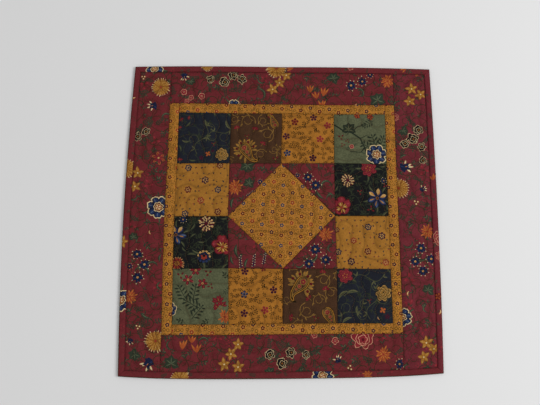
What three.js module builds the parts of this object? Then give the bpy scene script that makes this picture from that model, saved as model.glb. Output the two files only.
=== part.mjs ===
// A quilted patchwork table topper, lying flat on a table.
// Twelve print squares ring a square-in-a-square centre. A narrow border and a wide border frame them,
// a meandering line of quilting crosses the whole face, and a mitred binding is folded round the edge.
// Millimetres. +X runs to the right edge, +Y to the far edge and +Z up. The origin is under the middle.
import * as THREE from 'three';

// Sewn sizes, from seam to seam.
const SQUARE = 88.9;
const SQUARES_ACROSS = 4;
const INNER_BORDER = 16;
const OUTER_BORDER = 64.5;
const BINDING_FACE = 10;
const PIECE_GAP = 0.3;

const BLOCK_HALF = (SQUARE * SQUARES_ACROSS) / 2;
const INNER_HALF = BLOCK_HALF + INNER_BORDER;
const TOPPER_HALF = INNER_HALF + OUTER_BORDER;

// Heights above the table.
const CLOTH_EDGE = 0.7;
const BINDING_CLOTH = 0.8;
const BACK_TOP = BINDING_CLOTH + PIECE_GAP + CLOTH_EDGE;
const FACE_UNDERSIDE = BACK_TOP + PIECE_GAP;
const FACE_IN_BINDING = FACE_UNDERSIDE + CLOTH_EDGE;
const FACE_AT_SEAM = 3.3;
const LOFT = 1.7;

// How the loft dies away, as distances from a seam and from a quilting line.
const SEAM_SLOPE = 5;
const QUILTING_SLOPE = 5;
const LOFT_LEFT_ON_QUILTING = 0.25;

// The binding's wall stands outside the layers that it wraps. Its legs end at BINDING_FACE.
const BINDING_WALL = 1;
const LAYERS_INSET = BINDING_WALL + PIECE_GAP;
const LAYERS_CLEAR_OF_BINDING = BINDING_FACE + PIECE_GAP;
const LAYERS_AT_FULL_DEPTH = LAYERS_CLEAR_OF_BINDING + 1.2;

// Mesh steps.
const STEP = SQUARE / 10;
const DIAMOND_STEPS = 13;
const BINDING_STATIONS = 16;
const BACK_STATIONS = 12;

// Handmade cloth is never quite square: each corner is drawn this far from its true place, and each
// edge bulges this far at its middle. A higher power keeps the bulge going nearer to the corners.
const CORNER_PULL = {
  farLeft: { x: 4.3, y: 3.7 },
  farRight: { x: 1.4, y: 3 },
  nearLeft: { x: -2.7, y: -0.9 },
  nearRight: { x: -1.3, y: 2.6 },
};
const EDGE_BULGE = {
  left: { out: -5.3, power: 2 },
  right: { out: 2.9, power: 2 },
  far: { out: 5.1, power: 2 },
  near: { out: -5.3, power: 4 },
};

// How far each crossing of the squares' seams drifts off the true grid, with the far row first.
const SEAM_DRIFT = {
  x: [
    [0, 1, 0.5, 0.5, -0.5],
    [0.5, -0.5, -1.5, -0.5, -1],
    [-0.5, -1.5, 0, -0.5, -0.5],
    [0, 0.5, 0.5, 0.5, 0],
    [1.5, 2, -0.5, 0, 1],
  ],
  y: [
    [-1, -1.5, -1, -2.5, -2],
    [-1, 0, 0.5, 1, -0.5],
    [-2, -1.5, 0, -0.5, -0.5],
    [0, 1, 0, 0, -1],
    [0.5, 0.5, 1.5, 1.5, 0.5],
  ],
};

function seamDrift(table, x, y) {
  const column = THREE.MathUtils.clamp((x + BLOCK_HALF) / SQUARE, 0, SQUARES_ACROSS);
  const row = THREE.MathUtils.clamp((BLOCK_HALF - y) / SQUARE, 0, SQUARES_ACROSS);
  const c = Math.min(Math.floor(column), SQUARES_ACROSS - 1);
  const r = Math.min(Math.floor(row), SQUARES_ACROSS - 1);
  const alongRow = (drifts) => THREE.MathUtils.lerp(drifts[c], drifts[c + 1], column - c);
  const drift = THREE.MathUtils.lerp(alongRow(table[r]), alongRow(table[r + 1]), row - r);
  const beyond = Math.max(Math.abs(x), Math.abs(y), BLOCK_HALF) - BLOCK_HALF;
  return drift * (1 - beyond / (TOPPER_HALF - BLOCK_HALF));
}

// Where a point of the true square pattern lies on the table, before centring.
function lieUncentred(x, y) {
  const u = x / TOPPER_HALF;
  const v = y / TOPPER_HALF;
  const pull = CORNER_PULL[(v > 0 ? 'far' : 'near') + (u > 0 ? 'Right' : 'Left')];
  const sideways = u > 0 ? EDGE_BULGE.right : EDGE_BULGE.left;
  const lengthways = v > 0 ? EDGE_BULGE.far : EDGE_BULGE.near;
  const bulgeX = sideways.out * u ** 4 * (1 - Math.abs(v) ** sideways.power);
  const bulgeY = lengthways.out * v ** 4 * (1 - Math.abs(u) ** lengthways.power);
  const reach = Math.abs(u * v);
  return {
    x: x + pull.x * reach + bulgeX + seamDrift(SEAM_DRIFT.x, x, y),
    y: y + pull.y * reach + bulgeY + seamDrift(SEAM_DRIFT.y, x, y),
  };
}

// The middle of the outline's box, which becomes the origin.
function outlineMiddle() {
  const box = new THREE.Box2();
  const samples = 400;
  for (let i = 0; i <= samples; i += 1) {
    const along = TOPPER_HALF * ((2 * i) / samples - 1);
    for (const side of [-TOPPER_HALF, TOPPER_HALF]) {
      box.expandByPoint(lieUncentred(along, side));
      box.expandByPoint(lieUncentred(side, along));
    }
  }
  return box.getCenter(new THREE.Vector2());
}

const MIDDLE = outlineMiddle();

function lie(x, y, z) {
  const at = lieUncentred(x, y);
  return new THREE.Vector3(at.x - MIDDLE.x, at.y - MIDDLE.y, z);
}

// A repeatable source of chance, the same on every run.
function seededChance(seed) {
  let state = seed;
  return () => {
    state = (state * 16807) % 2147483647;
    return state / 2147483647;
  };
}

// The quilting is one closed meander. It runs round a branching tree of cells without crossing itself,
// so every turn keeps about the same distance from the next.
const MEANDER_CELLS = 12;
const MEANDER_MARGIN = 21;
const MEANDER_WANDER = 4;
const MEANDER_SWING = 5;
const MEANDER_SEED = 20;
const MEANDER_POINTS_A_TURN = 5;

function branchingTree(chance) {
  const cells = MEANDER_CELLS;
  const reached = new Set([0]);
  const links = new Set();
  const edge = [];
  const addEdges = (cell) => {
    const column = cell % cells;
    const row = Math.floor(cell / cells);
    if (column > 0) edge.push([cell, cell - 1]);
    if (column < cells - 1) edge.push([cell, cell + 1]);
    if (row > 0) edge.push([cell, cell - cells]);
    if (row < cells - 1) edge.push([cell, cell + cells]);
  };
  addEdges(0);
  while (reached.size < cells * cells) {
    const pick = Math.floor(chance() * edge.length);
    const [from, to] = edge[pick];
    edge.splice(pick, 1);
    if (reached.has(to)) continue;
    reached.add(to);
    links.add(`${Math.min(from, to)}-${Math.max(from, to)}`);
    addEdges(to);
  }
  return links;
}

// Each tree cell holds two by two turning points. Two neighbouring points are joined where the line
// runs along a branch, and not where it would cut across one. The points swing to one side and the
// other in turn, which rounds the ends of the loops and leaves no stretch straight.
function turningPoints() {
  const chance = seededChance(MEANDER_SEED);
  const links = branchingTree(chance);
  const across = MEANDER_CELLS * 2;
  const cellOf = (i, j) => Math.floor(j / 2) * MEANDER_CELLS + Math.floor(i / 2);
  const linked = (a, b) => links.has(`${Math.min(a, b)}-${Math.max(a, b)}`);
  const joined = (i, j, di, dj) => {
    const [ni, nj] = [i + di, j + dj];
    if (ni < 0 || nj < 0 || ni >= across || nj >= across) return false;
    const here = cellOf(i, j);
    const there = cellOf(ni, nj);
    if (here !== there) return linked(here, there);
    const [ci, cj] = [Math.floor(i / 2), Math.floor(j / 2)];
    const [si, sj] = di !== 0 ? [0, j % 2 ? 1 : -1] : [i % 2 ? 1 : -1, 0];
    const [oi, oj] = [ci + si, cj + sj];
    if (oi < 0 || oj < 0 || oi >= MEANDER_CELLS || oj >= MEANDER_CELLS) return true;
    return !linked(here, oj * MEANDER_CELLS + oi);
  };
  const reach = TOPPER_HALF - MEANDER_MARGIN;
  const pitch = (2 * reach) / (across - 1);
  const points = [];
  let [i, j, fromI, fromJ] = [0, 0, -1, -1];
  do {
    const wander = () => (2 * chance() - 1) * MEANDER_WANDER;
    const swing = (n) => (n % 2 ? MEANDER_SWING : -MEANDER_SWING);
    const x = -reach + i * pitch + wander() + swing(j);
    const y = -reach + j * pitch + wander() - swing(i);
    points.push(new THREE.Vector2(x, y));
    const ways = [[1, 0], [0, 1], [-1, 0], [0, -1]];
    const [di, dj] = ways.find(([a, b]) => joined(i, j, a, b) && !(i + a === fromI && j + b === fromJ));
    [fromI, fromJ, i, j] = [i, j, i + di, j + dj];
  } while (i !== 0 || j !== 0);
  return points;
}

// Rounds each turn with a curve between the middles of its two stretches.
function meanderLine() {
  const turns = turningPoints();
  const line = [];
  turns.forEach((turn, n) => {
    const before = turns[(n + turns.length - 1) % turns.length];
    const after = turns[(n + 1) % turns.length];
    const start = before.clone().add(turn).multiplyScalar(0.5);
    const end = turn.clone().add(after).multiplyScalar(0.5);
    const curve = new THREE.QuadraticBezierCurve(start, turn, end);
    line.push(...curve.getPoints(MEANDER_POINTS_A_TURN).slice(0, -1));
  });
  return line;
}

const MEANDER = meanderLine();

function distanceToQuilting(x, y) {
  let nearest = Infinity;
  for (const p of MEANDER) nearest = Math.min(nearest, (p.x - x) ** 2 + (p.y - y) ** 2);
  return Math.sqrt(nearest);
}

function distanceToEdge(point, a, b) {
  const along = b.clone().sub(a).normalize();
  return Math.abs(along.cross(point.clone().sub(a)));
}

// The face's height at a point of a piece: drawn down at its seams and along the quilting, lofty between.
function faceHeight(point, outline) {
  const fromRim = TOPPER_HALF - Math.max(Math.abs(point.x), Math.abs(point.y));
  if (fromRim < LAYERS_CLEAR_OF_BINDING + PIECE_GAP) return FACE_IN_BINDING;
  let fromSeam = Math.max(fromRim - LAYERS_AT_FULL_DEPTH, 0);
  outline.forEach((corner, n) => {
    const next = outline[(n + 1) % outline.length];
    fromSeam = Math.min(fromSeam, distanceToEdge(point, corner, next));
  });
  const seamRise = 1 - Math.exp(-fromSeam / SEAM_SLOPE);
  const fromQuilting = distanceToQuilting(point.x, point.y) / QUILTING_SLOPE;
  const quiltingRise = 1 - (1 - LOFT_LEFT_ON_QUILTING) * Math.exp(-fromQuilting * fromQuilting);
  return FACE_AT_SEAM + LOFT * seamRise * quiltingRise;
}

// Moves each side of a convex outline inwards. Sides are given anticlockwise.
function insetOutline(corners, inset) {
  const sides = corners.map((corner, n) => {
    const along = corners[(n + 1) % corners.length].clone().sub(corner).normalize();
    const inward = new THREE.Vector2(-along.y, along.x);
    return { start: corner.clone().addScaledVector(inward, inset), along };
  });
  return sides.map((side, n) => {
    const last = sides[(n + sides.length - 1) % sides.length];
    const apart = side.start.clone().sub(last.start);
    const t = apart.cross(side.along) / last.along.cross(side.along);
    return last.start.clone().addScaledVector(last.along, t);
  });
}

function evenStops(length, step) {
  const steps = Math.max(2, Math.round(length / step));
  return Array.from({ length: steps + 1 }, (_, n) => n / steps);
}

// Stops along a side whose low or high end lies in the binding, as shares of its length.
function bindingStops(length, atLow, atHigh) {
  const clear = LAYERS_CLEAR_OF_BINDING + PIECE_GAP / 2 - LAYERS_INSET;
  const deep = LAYERS_AT_FULL_DEPTH + PIECE_GAP - LAYERS_INSET;
  const low = atLow ? [0, clear, deep] : [0];
  const high = atHigh ? [length - deep, length - clear, length] : [length];
  const from = low.at(-1);
  const middle = evenStops(high[0] - from, STEP).slice(1, -1).map((s) => from + s * (high[0] - from));
  return [...low, ...middle, ...high].map((s) => s / length);
}

// Rows of points over a four-cornered piece, at the stops along its first and its last side.
function rowsOfQuad([a, b, c, d], acrossStops, alongStops) {
  return alongStops.map((v) => {
    const left = a.clone().lerp(d, v);
    const right = b.clone().lerp(c, v);
    return acrossStops.map((u) => left.clone().lerp(right, u));
  });
}

// Rows of points over a three-cornered piece, each one point shorter than the last.
function rowsOfTriangle([a, b, c], steps) {
  return Array.from({ length: steps + 1 }, (_, row) => {
    const left = a.clone().lerp(c, row / steps);
    const right = b.clone().lerp(c, row / steps);
    const count = steps - row;
    return Array.from({ length: count + 1 }, (_, n) => left.clone().lerp(right, count ? n / count : 0));
  });
}

function meshGeometry(points, triangles) {
  const geometry = new THREE.BufferGeometry();
  geometry.setAttribute('position', new THREE.Float32BufferAttribute(points.flatMap((p) => p.toArray()), 3));
  geometry.setIndex(triangles.flat());
  geometry.computeVertexNormals();
  return geometry;
}

// One piece of the face: a lofty top over a flat underside, with a thin wall at each seam.
function paddedPiece(outline, rows) {
  const points = [];
  const triangles = [];
  const numbered = rows.map((row) => row.map((p) => points.push(lie(p.x, p.y, faceHeight(p, outline))) - 1));
  for (let r = 0; r + 1 < numbered.length; r += 1) {
    const [low, high] = [numbered[r], numbered[r + 1]];
    const square = low.length === high.length;
    for (let n = 0; n + 1 < low.length; n += 1) {
      if (square) triangles.push([low[n], low[n + 1], high[n + 1]], [low[n], high[n + 1], high[n]]);
      else triangles.push([low[n], low[n + 1], high[n]]);
      if (!square && n + 1 < high.length) triangles.push([low[n + 1], high[n + 1], high[n]]);
    }
  }
  const last = numbered.at(-1);
  const rim = [
    ...numbered[0],
    ...numbered.slice(1).map((row) => row.at(-1)),
    ...last.slice(0, -1).reverse(),
    ...numbered.slice(1, -1).map((row) => row[0]).reverse(),
  ];
  const under = rim.map((n) => points.push(points[n].clone().setZ(FACE_UNDERSIDE)) - 1);
  const middle = new THREE.Vector3();
  under.forEach((n) => middle.addScaledVector(points[n], 1 / under.length));
  const centre = points.push(middle.setZ(FACE_UNDERSIDE)) - 1;
  rim.forEach((top, n) => {
    const next = (n + 1) % rim.length;
    triangles.push([top, under[n], under[next]], [top, under[next], rim[next]]);
    triangles.push([centre, under[next], under[n]]);
  });
  return meshGeometry(points, triangles);
}

function rectangle(left, near, right, far) {
  return [[left, near], [right, near], [right, far], [left, far]].map(([x, y]) => new THREE.Vector2(x, y));
}

function squarePiece(left, near) {
  const outline = insetOutline(rectangle(left, near, left + SQUARE, near + SQUARE), PIECE_GAP / 2);
  const stops = evenStops(SQUARE, STEP);
  return paddedPiece(outline, rowsOfQuad(outline, stops, stops));
}

function diamondPiece() {
  const corners = [[0, -SQUARE], [SQUARE, 0], [0, SQUARE], [-SQUARE, 0]];
  const outline = insetOutline(corners.map(([x, y]) => new THREE.Vector2(x, y)), PIECE_GAP / 2);
  const stops = evenStops(DIAMOND_STEPS, 1);
  return paddedPiece(outline, rowsOfQuad(outline, stops, stops));
}

// A corner triangle of the centre block, with its right angle at (sideX, sideY) squares from the middle.
function trianglePiece(sideX, sideY) {
  const right = new THREE.Vector2(sideX * SQUARE, sideY * SQUARE);
  const ends = [new THREE.Vector2(0, right.y), new THREE.Vector2(right.x, 0)];
  if (sideX * sideY < 0) ends.reverse();
  const outline = insetOutline([...ends, right], PIECE_GAP / 2);
  return paddedPiece(outline, rowsOfTriangle(outline, DIAMOND_STEPS));
}

function innerBorderPiece(left, near, right, far) {
  const outline = insetOutline(rectangle(left, near, right, far), PIECE_GAP / 2);
  const stops = (length) => evenStops(length, STEP);
  return paddedPiece(outline, rowsOfQuad(outline, stops(right - left), stops(far - near)));
}

// An outer border piece reaches into the binding on the sides that touch the rim.
function outerBorderPiece(left, near, right, far) {
  const rim = TOPPER_HALF - LAYERS_INSET;
  const held = { left: left < -rim, near: near < -rim, right: right > rim, far: far > rim };
  const box = rectangle(
    held.left ? -rim : left + PIECE_GAP / 2,
    held.near ? -rim : near + PIECE_GAP / 2,
    held.right ? rim : right - PIECE_GAP / 2,
    held.far ? rim : far - PIECE_GAP / 2,
  );
  const across = bindingStops(box[1].x - box[0].x, held.left, held.right);
  const along = bindingStops(box[3].y - box[0].y, held.near, held.far);
  return paddedPiece(box, rowsOfQuad(box, across, along));
}

// A point on the rim's line moved inwards: side 0 is near, 1 right, 2 far and 3 left, each anticlockwise.
function rimPoint(side, share, inset, z, endGap = 0) {
  const reach = TOPPER_HALF - inset;
  const along = THREE.MathUtils.lerp(-reach + endGap, reach - endGap, share);
  const places = [[along, -reach], [reach, along], [-along, reach], [-reach, -along]];
  return lie(...places[side], z);
}

// The back and batting as one slab. Its rim is thinner, because the binding wraps it.
function backPiece() {
  const rings = [
    { inset: LAYERS_INSET, z: BACK_TOP },
    { inset: LAYERS_INSET, z: BINDING_CLOTH + PIECE_GAP },
    { inset: LAYERS_CLEAR_OF_BINDING, z: BINDING_CLOTH + PIECE_GAP },
    { inset: LAYERS_AT_FULL_DEPTH, z: 0 },
  ];
  const points = [];
  const triangles = [];
  const count = 4 * BACK_STATIONS;
  rings.forEach(({ inset, z }) => {
    for (let n = 0; n < count; n += 1) {
      points.push(rimPoint(Math.floor(n / BACK_STATIONS), (n % BACK_STATIONS) / BACK_STATIONS, inset, z));
    }
  });
  const top = points.push(lie(0, 0, BACK_TOP)) - 1;
  const bottom = points.push(lie(0, 0, 0)) - 1;
  const lastRing = (rings.length - 1) * count;
  for (let n = 0; n < count; n += 1) {
    const next = (n + 1) % count;
    triangles.push([top, n, next], [bottom, lastRing + next, lastRing + n]);
    for (let ring = 0; ring < lastRing; ring += count) {
      triangles.push([ring + n, ring + count + n, ring + count + next]);
      triangles.push([ring + n, ring + count + next, ring + next]);
    }
  }
  return meshGeometry(points, triangles);
}

// The binding's section: a folded strip whose two legs hold the layers' edge. Insets are from the rim.
const BINDING_SECTION = [
  { inset: BINDING_FACE, z: 0 },
  { inset: BINDING_FACE, z: BINDING_CLOTH },
  { inset: BINDING_WALL, z: BINDING_CLOTH },
  { inset: BINDING_WALL, z: FACE_IN_BINDING + PIECE_GAP },
  { inset: BINDING_FACE, z: FACE_IN_BINDING + PIECE_GAP },
  { inset: BINDING_FACE, z: 3.5 },
  { inset: 9.3, z: 3.8 },
  { inset: 7, z: 4.3 },
  { inset: 3.5, z: 4.4 },
  { inset: 0.9, z: 3.9 },
  { inset: 0, z: 3 },
  { inset: 0, z: 0.9 },
  { inset: 0.7, z: 0 },
];

// A strip of binding along one side. Its ends are mitred where it meets the next strip.
function bindingPiece(side) {
  const endGap = PIECE_GAP * Math.SQRT1_2;
  const count = BINDING_SECTION.length;
  const points = [];
  const triangles = [];
  for (let station = 0; station <= BINDING_STATIONS; station += 1) {
    for (const { inset, z } of BINDING_SECTION) {
      points.push(rimPoint(side, station / BINDING_STATIONS, inset, z, endGap));
    }
  }
  for (let station = 0; station < BINDING_STATIONS; station += 1) {
    for (let n = 0; n < count; n += 1) {
      const [a, b] = [station * count + n, station * count + ((n + 1) % count)];
      triangles.push([a, b, b + count], [a, b + count, a + count]);
    }
  }
  const section = BINDING_SECTION.map(({ inset, z }) => new THREE.Vector2(inset, z));
  const lastStation = BINDING_STATIONS * count;
  for (const [a, b, c] of THREE.ShapeUtils.triangulateShape(section, [])) {
    triangles.push([a, c, b], [lastStation + a, lastStation + b, lastStation + c]);
  }
  return meshGeometry(points, triangles);
}

// Printed and plain cottons, in the colour that each shows from a step away.
const cotton = (color) => new THREE.MeshStandardMaterial({ color, roughness: 0.92, metalness: 0 });
const COTTONS = {
  burgundy: cotton(0x5f262b),
  calico: cotton(0x85592a),
  gold: cotton(0x8a5b22),
  tan: cotton(0x8f6230),
  green: cotton(0x4f5440),
  navy: cotton(0x1e2530),
  brown: cotton(0x46301f),
  black: cotton(0x191a1b),
  muslin: cotton(0xb8a888),
};

// The ring of squares, from the far row to the near one. The centre block fills the empty places.
const SQUARE_ROWS = [
  ['navy', 'brown', 'gold', 'green'],
  ['tan', null, null, 'black'],
  ['black', null, null, 'tan'],
  ['green', 'gold', 'brown', 'navy'],
];

const topper = new THREE.Group();

function sew(name, fabric, geometry) {
  const piece = new THREE.Mesh(geometry, COTTONS[fabric]);
  piece.name = name;
  topper.add(piece);
}

function sewSquares() {
  SQUARE_ROWS.forEach((row, r) => {
    row.forEach((fabric, c) => {
      if (!fabric) return;
      const left = c * SQUARE - BLOCK_HALF;
      const near = BLOCK_HALF - (r + 1) * SQUARE;
      sew(`square_row${r + 1}_${c + 1}_${fabric}`, fabric, squarePiece(left, near));
    });
  });
}

function sewCentreBlock() {
  sew('centre_diamond', 'calico', diamondPiece());
  sew('centre_triangle_far_left', 'burgundy', trianglePiece(-1, 1));
  sew('centre_triangle_far_right', 'burgundy', trianglePiece(1, 1));
  sew('centre_triangle_near_left', 'burgundy', trianglePiece(-1, -1));
  sew('centre_triangle_near_right', 'burgundy', trianglePiece(1, -1));
}

// In both borders the side strips run the full height, and the far and near strips fit between them.
function sewBorder(name, fabric, piece, inside, outside) {
  sew(`${name}_left`, fabric, piece(-outside, -outside, -inside, outside));
  sew(`${name}_right`, fabric, piece(inside, -outside, outside, outside));
  sew(`${name}_far`, fabric, piece(-inside, inside, inside, outside));
  sew(`${name}_near`, fabric, piece(-inside, -outside, inside, -inside));
}

sewSquares();
sewCentreBlock();
sewBorder('inner_border', 'calico', innerBorderPiece, BLOCK_HALF, INNER_HALF);
sewBorder('outer_border', 'burgundy', outerBorderPiece, INNER_HALF, TOPPER_HALF);
sew('quilt_back', 'muslin', backPiece());
['near', 'right', 'far', 'left'].forEach((side, n) => sew(`binding_${side}`, 'burgundy', bindingPiece(n)));

export default topper;
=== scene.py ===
"""A quilted patchwork table topper, laid flat on a pale table.

Every piece of cloth is cut as a flat pattern in millimetres, printed with patches of dye that are let
into its mesh, and then laid in place with the loft that the quilting leaves it. Lengths are in
millimetres until a mesh is made, which is in metres.
"""

import math
import random
from collections import namedtuple
from functools import partial

import bpy
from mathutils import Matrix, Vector, geometry, kdtree, noise

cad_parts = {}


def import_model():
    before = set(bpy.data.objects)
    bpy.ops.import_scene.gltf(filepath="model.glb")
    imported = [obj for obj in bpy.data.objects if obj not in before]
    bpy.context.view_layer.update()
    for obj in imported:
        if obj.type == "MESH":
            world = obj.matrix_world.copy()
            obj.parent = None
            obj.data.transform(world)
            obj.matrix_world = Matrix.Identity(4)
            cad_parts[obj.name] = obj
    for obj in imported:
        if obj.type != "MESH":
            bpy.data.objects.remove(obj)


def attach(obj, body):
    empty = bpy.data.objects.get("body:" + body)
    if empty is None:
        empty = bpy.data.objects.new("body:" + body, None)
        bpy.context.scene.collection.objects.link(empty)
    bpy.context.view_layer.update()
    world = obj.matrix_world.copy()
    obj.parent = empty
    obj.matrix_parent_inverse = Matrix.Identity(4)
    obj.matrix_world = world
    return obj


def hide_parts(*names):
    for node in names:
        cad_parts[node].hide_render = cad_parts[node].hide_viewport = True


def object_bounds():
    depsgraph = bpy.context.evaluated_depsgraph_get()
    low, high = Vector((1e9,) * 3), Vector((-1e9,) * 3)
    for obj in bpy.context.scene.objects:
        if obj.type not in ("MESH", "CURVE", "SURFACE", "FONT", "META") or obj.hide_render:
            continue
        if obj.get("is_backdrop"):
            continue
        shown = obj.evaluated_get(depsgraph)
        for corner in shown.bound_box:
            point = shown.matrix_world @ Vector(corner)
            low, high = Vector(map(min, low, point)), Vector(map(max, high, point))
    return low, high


MM = 0.001

# Sewn sizes, from seam to seam, as in the part.
SQUARE = 88.9
SQUARES_ACROSS = 4
INNER_BORDER = 16
OUTER_BORDER = 64.5
BINDING_FACE = 10
BLOCK_HALF = SQUARE * SQUARES_ACROSS / 2
INNER_HALF = BLOCK_HALF + INNER_BORDER
TOPPER_HALF = INNER_HALF + OUTER_BORDER
SEAM_GAP = 0.1

# Heights above the table.
BACK_TOP = 1.8
BACK_EDGE = 1.1
FACE_UNDERSIDE = 2.1
FACE_IN_BINDING = 2.8
FACE_AT_SEAM = 3.3
LOFT = 1.75

# Where the layers end inside the binding, and where they come out of it.
LAYERS_INSET = 1.3
LAYERS_CLEAR_OF_BINDING = 10.3
LAYERS_AT_FULL_DEPTH = 11.8

# How the loft dies away, as distances from a seam and from a line of quilting.
SEAM_SLOPE = 4.2
SEAM_ROLL = 0.7
SEAM_ROLL_DEPTH = 0.3
QUILTING_SLOPE = 5.2
LOFT_LEFT_ON_QUILTING = 0.3
STITCH_DITCH = 1.3
STITCH_DITCH_DEPTH = 0.42
BACK_GROOVE = 2.08
BACK_GROOVE_DEPTH = 0.5

# The puckers and lumps between the stitches. Columns: how wide, and which layer of noise.
PUCKERS = ((5, 3), (11, 8), (34, 1))
PUCKER_HEIGHT = 0.3
BACK_RIPPLE = (9, 5)
BACK_RIPPLE_HEIGHT = 0.12

# How much painted shade darkens the cloth along a seam and the quilting, and how far from each that reaches.
SHADE_AT_SEAM = 0.7
SHADE_AT_QUILTING = 0.65
QUILTING_SHADE_REACH = 1.8
BACK_SHADE_REACH = 2.2

# Mesh steps.
RELIEF_STEP = 2.3
EDGE_STEP = 2.2
QUILTING_STEP = 1.5
BACK_STEP = 3.4
BINDING_STEP = 4
FOLD_STEP = 1.1

# How far each corner is drawn from its true place, and how far each edge bulges at its middle.
CORNER_PULL = {
    "far left": (4.3, 3.7),
    "far right": (1.4, 3),
    "near left": (-2.7, -0.9),
    "near right": (-1.3, 2.6),
}
EDGE_BULGE = {"left": (-5.3, 2), "right": (2.9, 2), "far": (5.1, 2), "near": (-5.3, 4)}

# How far each crossing of the squares' seams drifts off the true grid, with the far row first.
SEAM_DRIFT_X = [
    [0, 1, 0.5, 0.5, -0.5],
    [0.5, -0.5, -1.5, -0.5, -1],
    [-0.5, -1.5, 0, -0.5, -0.5],
    [0, 0.5, 0.5, 0.5, 0],
    [1.5, 2, -0.5, 0, 1],
]
SEAM_DRIFT_Y = [
    [-1, -1.5, -1, -2.5, -2],
    [-1, 0, 0.5, 1, -0.5],
    [-2, -1.5, 0, -0.5, -0.5],
    [0, 1, 0, 0, -1],
    [0.5, 0.5, 1.5, 1.5, 0.5],
]

# The camera stands where the photograph was taken from, in millimetres from the middle of the squares.
CAMERA_PLACE = (-44.2, -195.2, 1067.9)
CAMERA_TURN = (11.52, -1.27, -0.06)
CAMERA_LENS = 43.33

# Dyes and cloths in daylight, in sRGB.
DYES = {
    "wine": "65272a",
    "wine_right": "67292f",
    "vine": "38291c",
    "leaf": "2d3428",
    "leaf_light": "545a43",
    "leaf_dark": "242a20",
    "moss": "535237",
    "moss_dark": "323728",
    "ink": "191e34",
    "blue": "242f4e",
    "sky": "4f5c72",
    "slate": "253349",
    "black": "1a1516",
    "cream": "c4ae82",
    "straw": "ae8852",
    "gold": "966729",
    "ochre": "784a1f",
    "amber": "a96b30",
    "rust": "934824",
    "brick": "7f2f22",
    "red": "77242a",
    "maroon": "4d1419",
    "plum": "311626",
    "rose": "84343a",
    "blush": "b98468",
    "scroll": "7d5d2c",
    "bark": "1f170a",
    "calico": "a86f2b",
    "calico_net": "46330f",
    "gold_ground": "9a6526",
    "tan": "976729",
    "navy": "1f222a",
    "brown": "452e1e",
    "green": "575a41",
    "black_ground": "171819",
    # Painted shade on the binding's outer wall at the fold.
    "painted_fold_shade": "3a321c",
    "deep_leaf": "282d20",
    "moss_stem": "44452e",
    "green_tone": "484b36",
    "muslin": "b9a884",
    "thread": "6b4a2c",
}

Spot = namedtuple("Spot", "motif x y size turn", defaults=(0,))


def smooth_step(low, high, value):
    share = min(max((value - low) / (high - low), 0), 1)
    return share * share * (3 - 2 * share)


def mix(a, b, share):
    return a + (b - a) * share


def fall_off(distance, reach):
    """Falls smoothly from 1 to near 0 within about two reaches."""
    return math.exp(-((distance / reach) ** 2))


def seam_drift(table, x, y):
    column = min(max((x + BLOCK_HALF) / SQUARE, 0), SQUARES_ACROSS)
    row = min(max((BLOCK_HALF - y) / SQUARE, 0), SQUARES_ACROSS)
    c = min(int(column), SQUARES_ACROSS - 1)
    r = min(int(row), SQUARES_ACROSS - 1)
    far = mix(table[r][c], table[r][c + 1], column - c)
    near = mix(table[r + 1][c], table[r + 1][c + 1], column - c)
    beyond = max(abs(x), abs(y), BLOCK_HALF) - BLOCK_HALF
    return mix(far, near, row - r) * (1 - beyond / (TOPPER_HALF - BLOCK_HALF))


def lie_uncentred(x, y):
    """Where a point of the true square pattern lies on the table, before centring."""
    u = x / TOPPER_HALF
    v = y / TOPPER_HALF
    pull = CORNER_PULL[("far " if v > 0 else "near ") + ("right" if u > 0 else "left")]
    out_x, power_x = EDGE_BULGE["right" if u > 0 else "left"]
    out_y, power_y = EDGE_BULGE["far" if v > 0 else "near"]
    reach = abs(u * v)
    bulge_x = out_x * u**4 * (1 - abs(v) ** power_x)
    bulge_y = out_y * v**4 * (1 - abs(u) ** power_y)
    lie_x = x + pull[0] * reach + bulge_x + seam_drift(SEAM_DRIFT_X, x, y)
    lie_y = y + pull[1] * reach + bulge_y + seam_drift(SEAM_DRIFT_Y, x, y)
    return lie_x, lie_y


def outline_middle():
    """The middle of the outline's box, which is the part's origin."""
    xs = []
    ys = []
    samples = 400
    for n in range(samples + 1):
        along = TOPPER_HALF * (2 * n / samples - 1)
        for side in (-TOPPER_HALF, TOPPER_HALF):
            for x, y in (lie_uncentred(along, side), lie_uncentred(side, along)):
                xs.append(x)
                ys.append(y)
    return (min(xs) + max(xs)) / 2, (min(ys) + max(ys)) / 2


MIDDLE_X, MIDDLE_Y = outline_middle()


def lie(x, y, z):
    lie_x, lie_y = lie_uncentred(x, y)
    return (lie_x - MIDDLE_X) * MM, (lie_y - MIDDLE_Y) * MM, z * MM


# The quilting is one closed meander, worked out just as in the part, so that both have the same grooves.
MEANDER_CELLS = 12
MEANDER_MARGIN = 21
MEANDER_WANDER = 4
MEANDER_SWING = 5
MEANDER_SEED = 20
MEANDER_POINTS_A_TURN = 5
CHANCE_FACTOR = 16807
CHANCE_MODULUS = 2147483647


def seeded_chance(seed):
    """A repeatable source of chance, the same one as in the part."""
    state = seed
    while True:
        state = (state * CHANCE_FACTOR) % CHANCE_MODULUS
        yield state / CHANCE_MODULUS


def branching_tree(chance):
    """Joins neighbouring cells into one tree, and gives the joined pairs."""
    cells = MEANDER_CELLS
    reached = {0}
    links = set()
    edge = []

    def add_edges(cell):
        column = cell % cells
        row = cell // cells
        if column > 0:
            edge.append((cell, cell - 1))
        if column < cells - 1:
            edge.append((cell, cell + 1))
        if row > 0:
            edge.append((cell, cell - cells))
        if row < cells - 1:
            edge.append((cell, cell + cells))

    add_edges(0)
    while len(reached) < cells * cells:
        start, end = edge.pop(int(next(chance) * len(edge)))
        if end in reached:
            continue
        reached.add(end)
        links.add((min(start, end), max(start, end)))
        add_edges(end)
    return links


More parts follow.
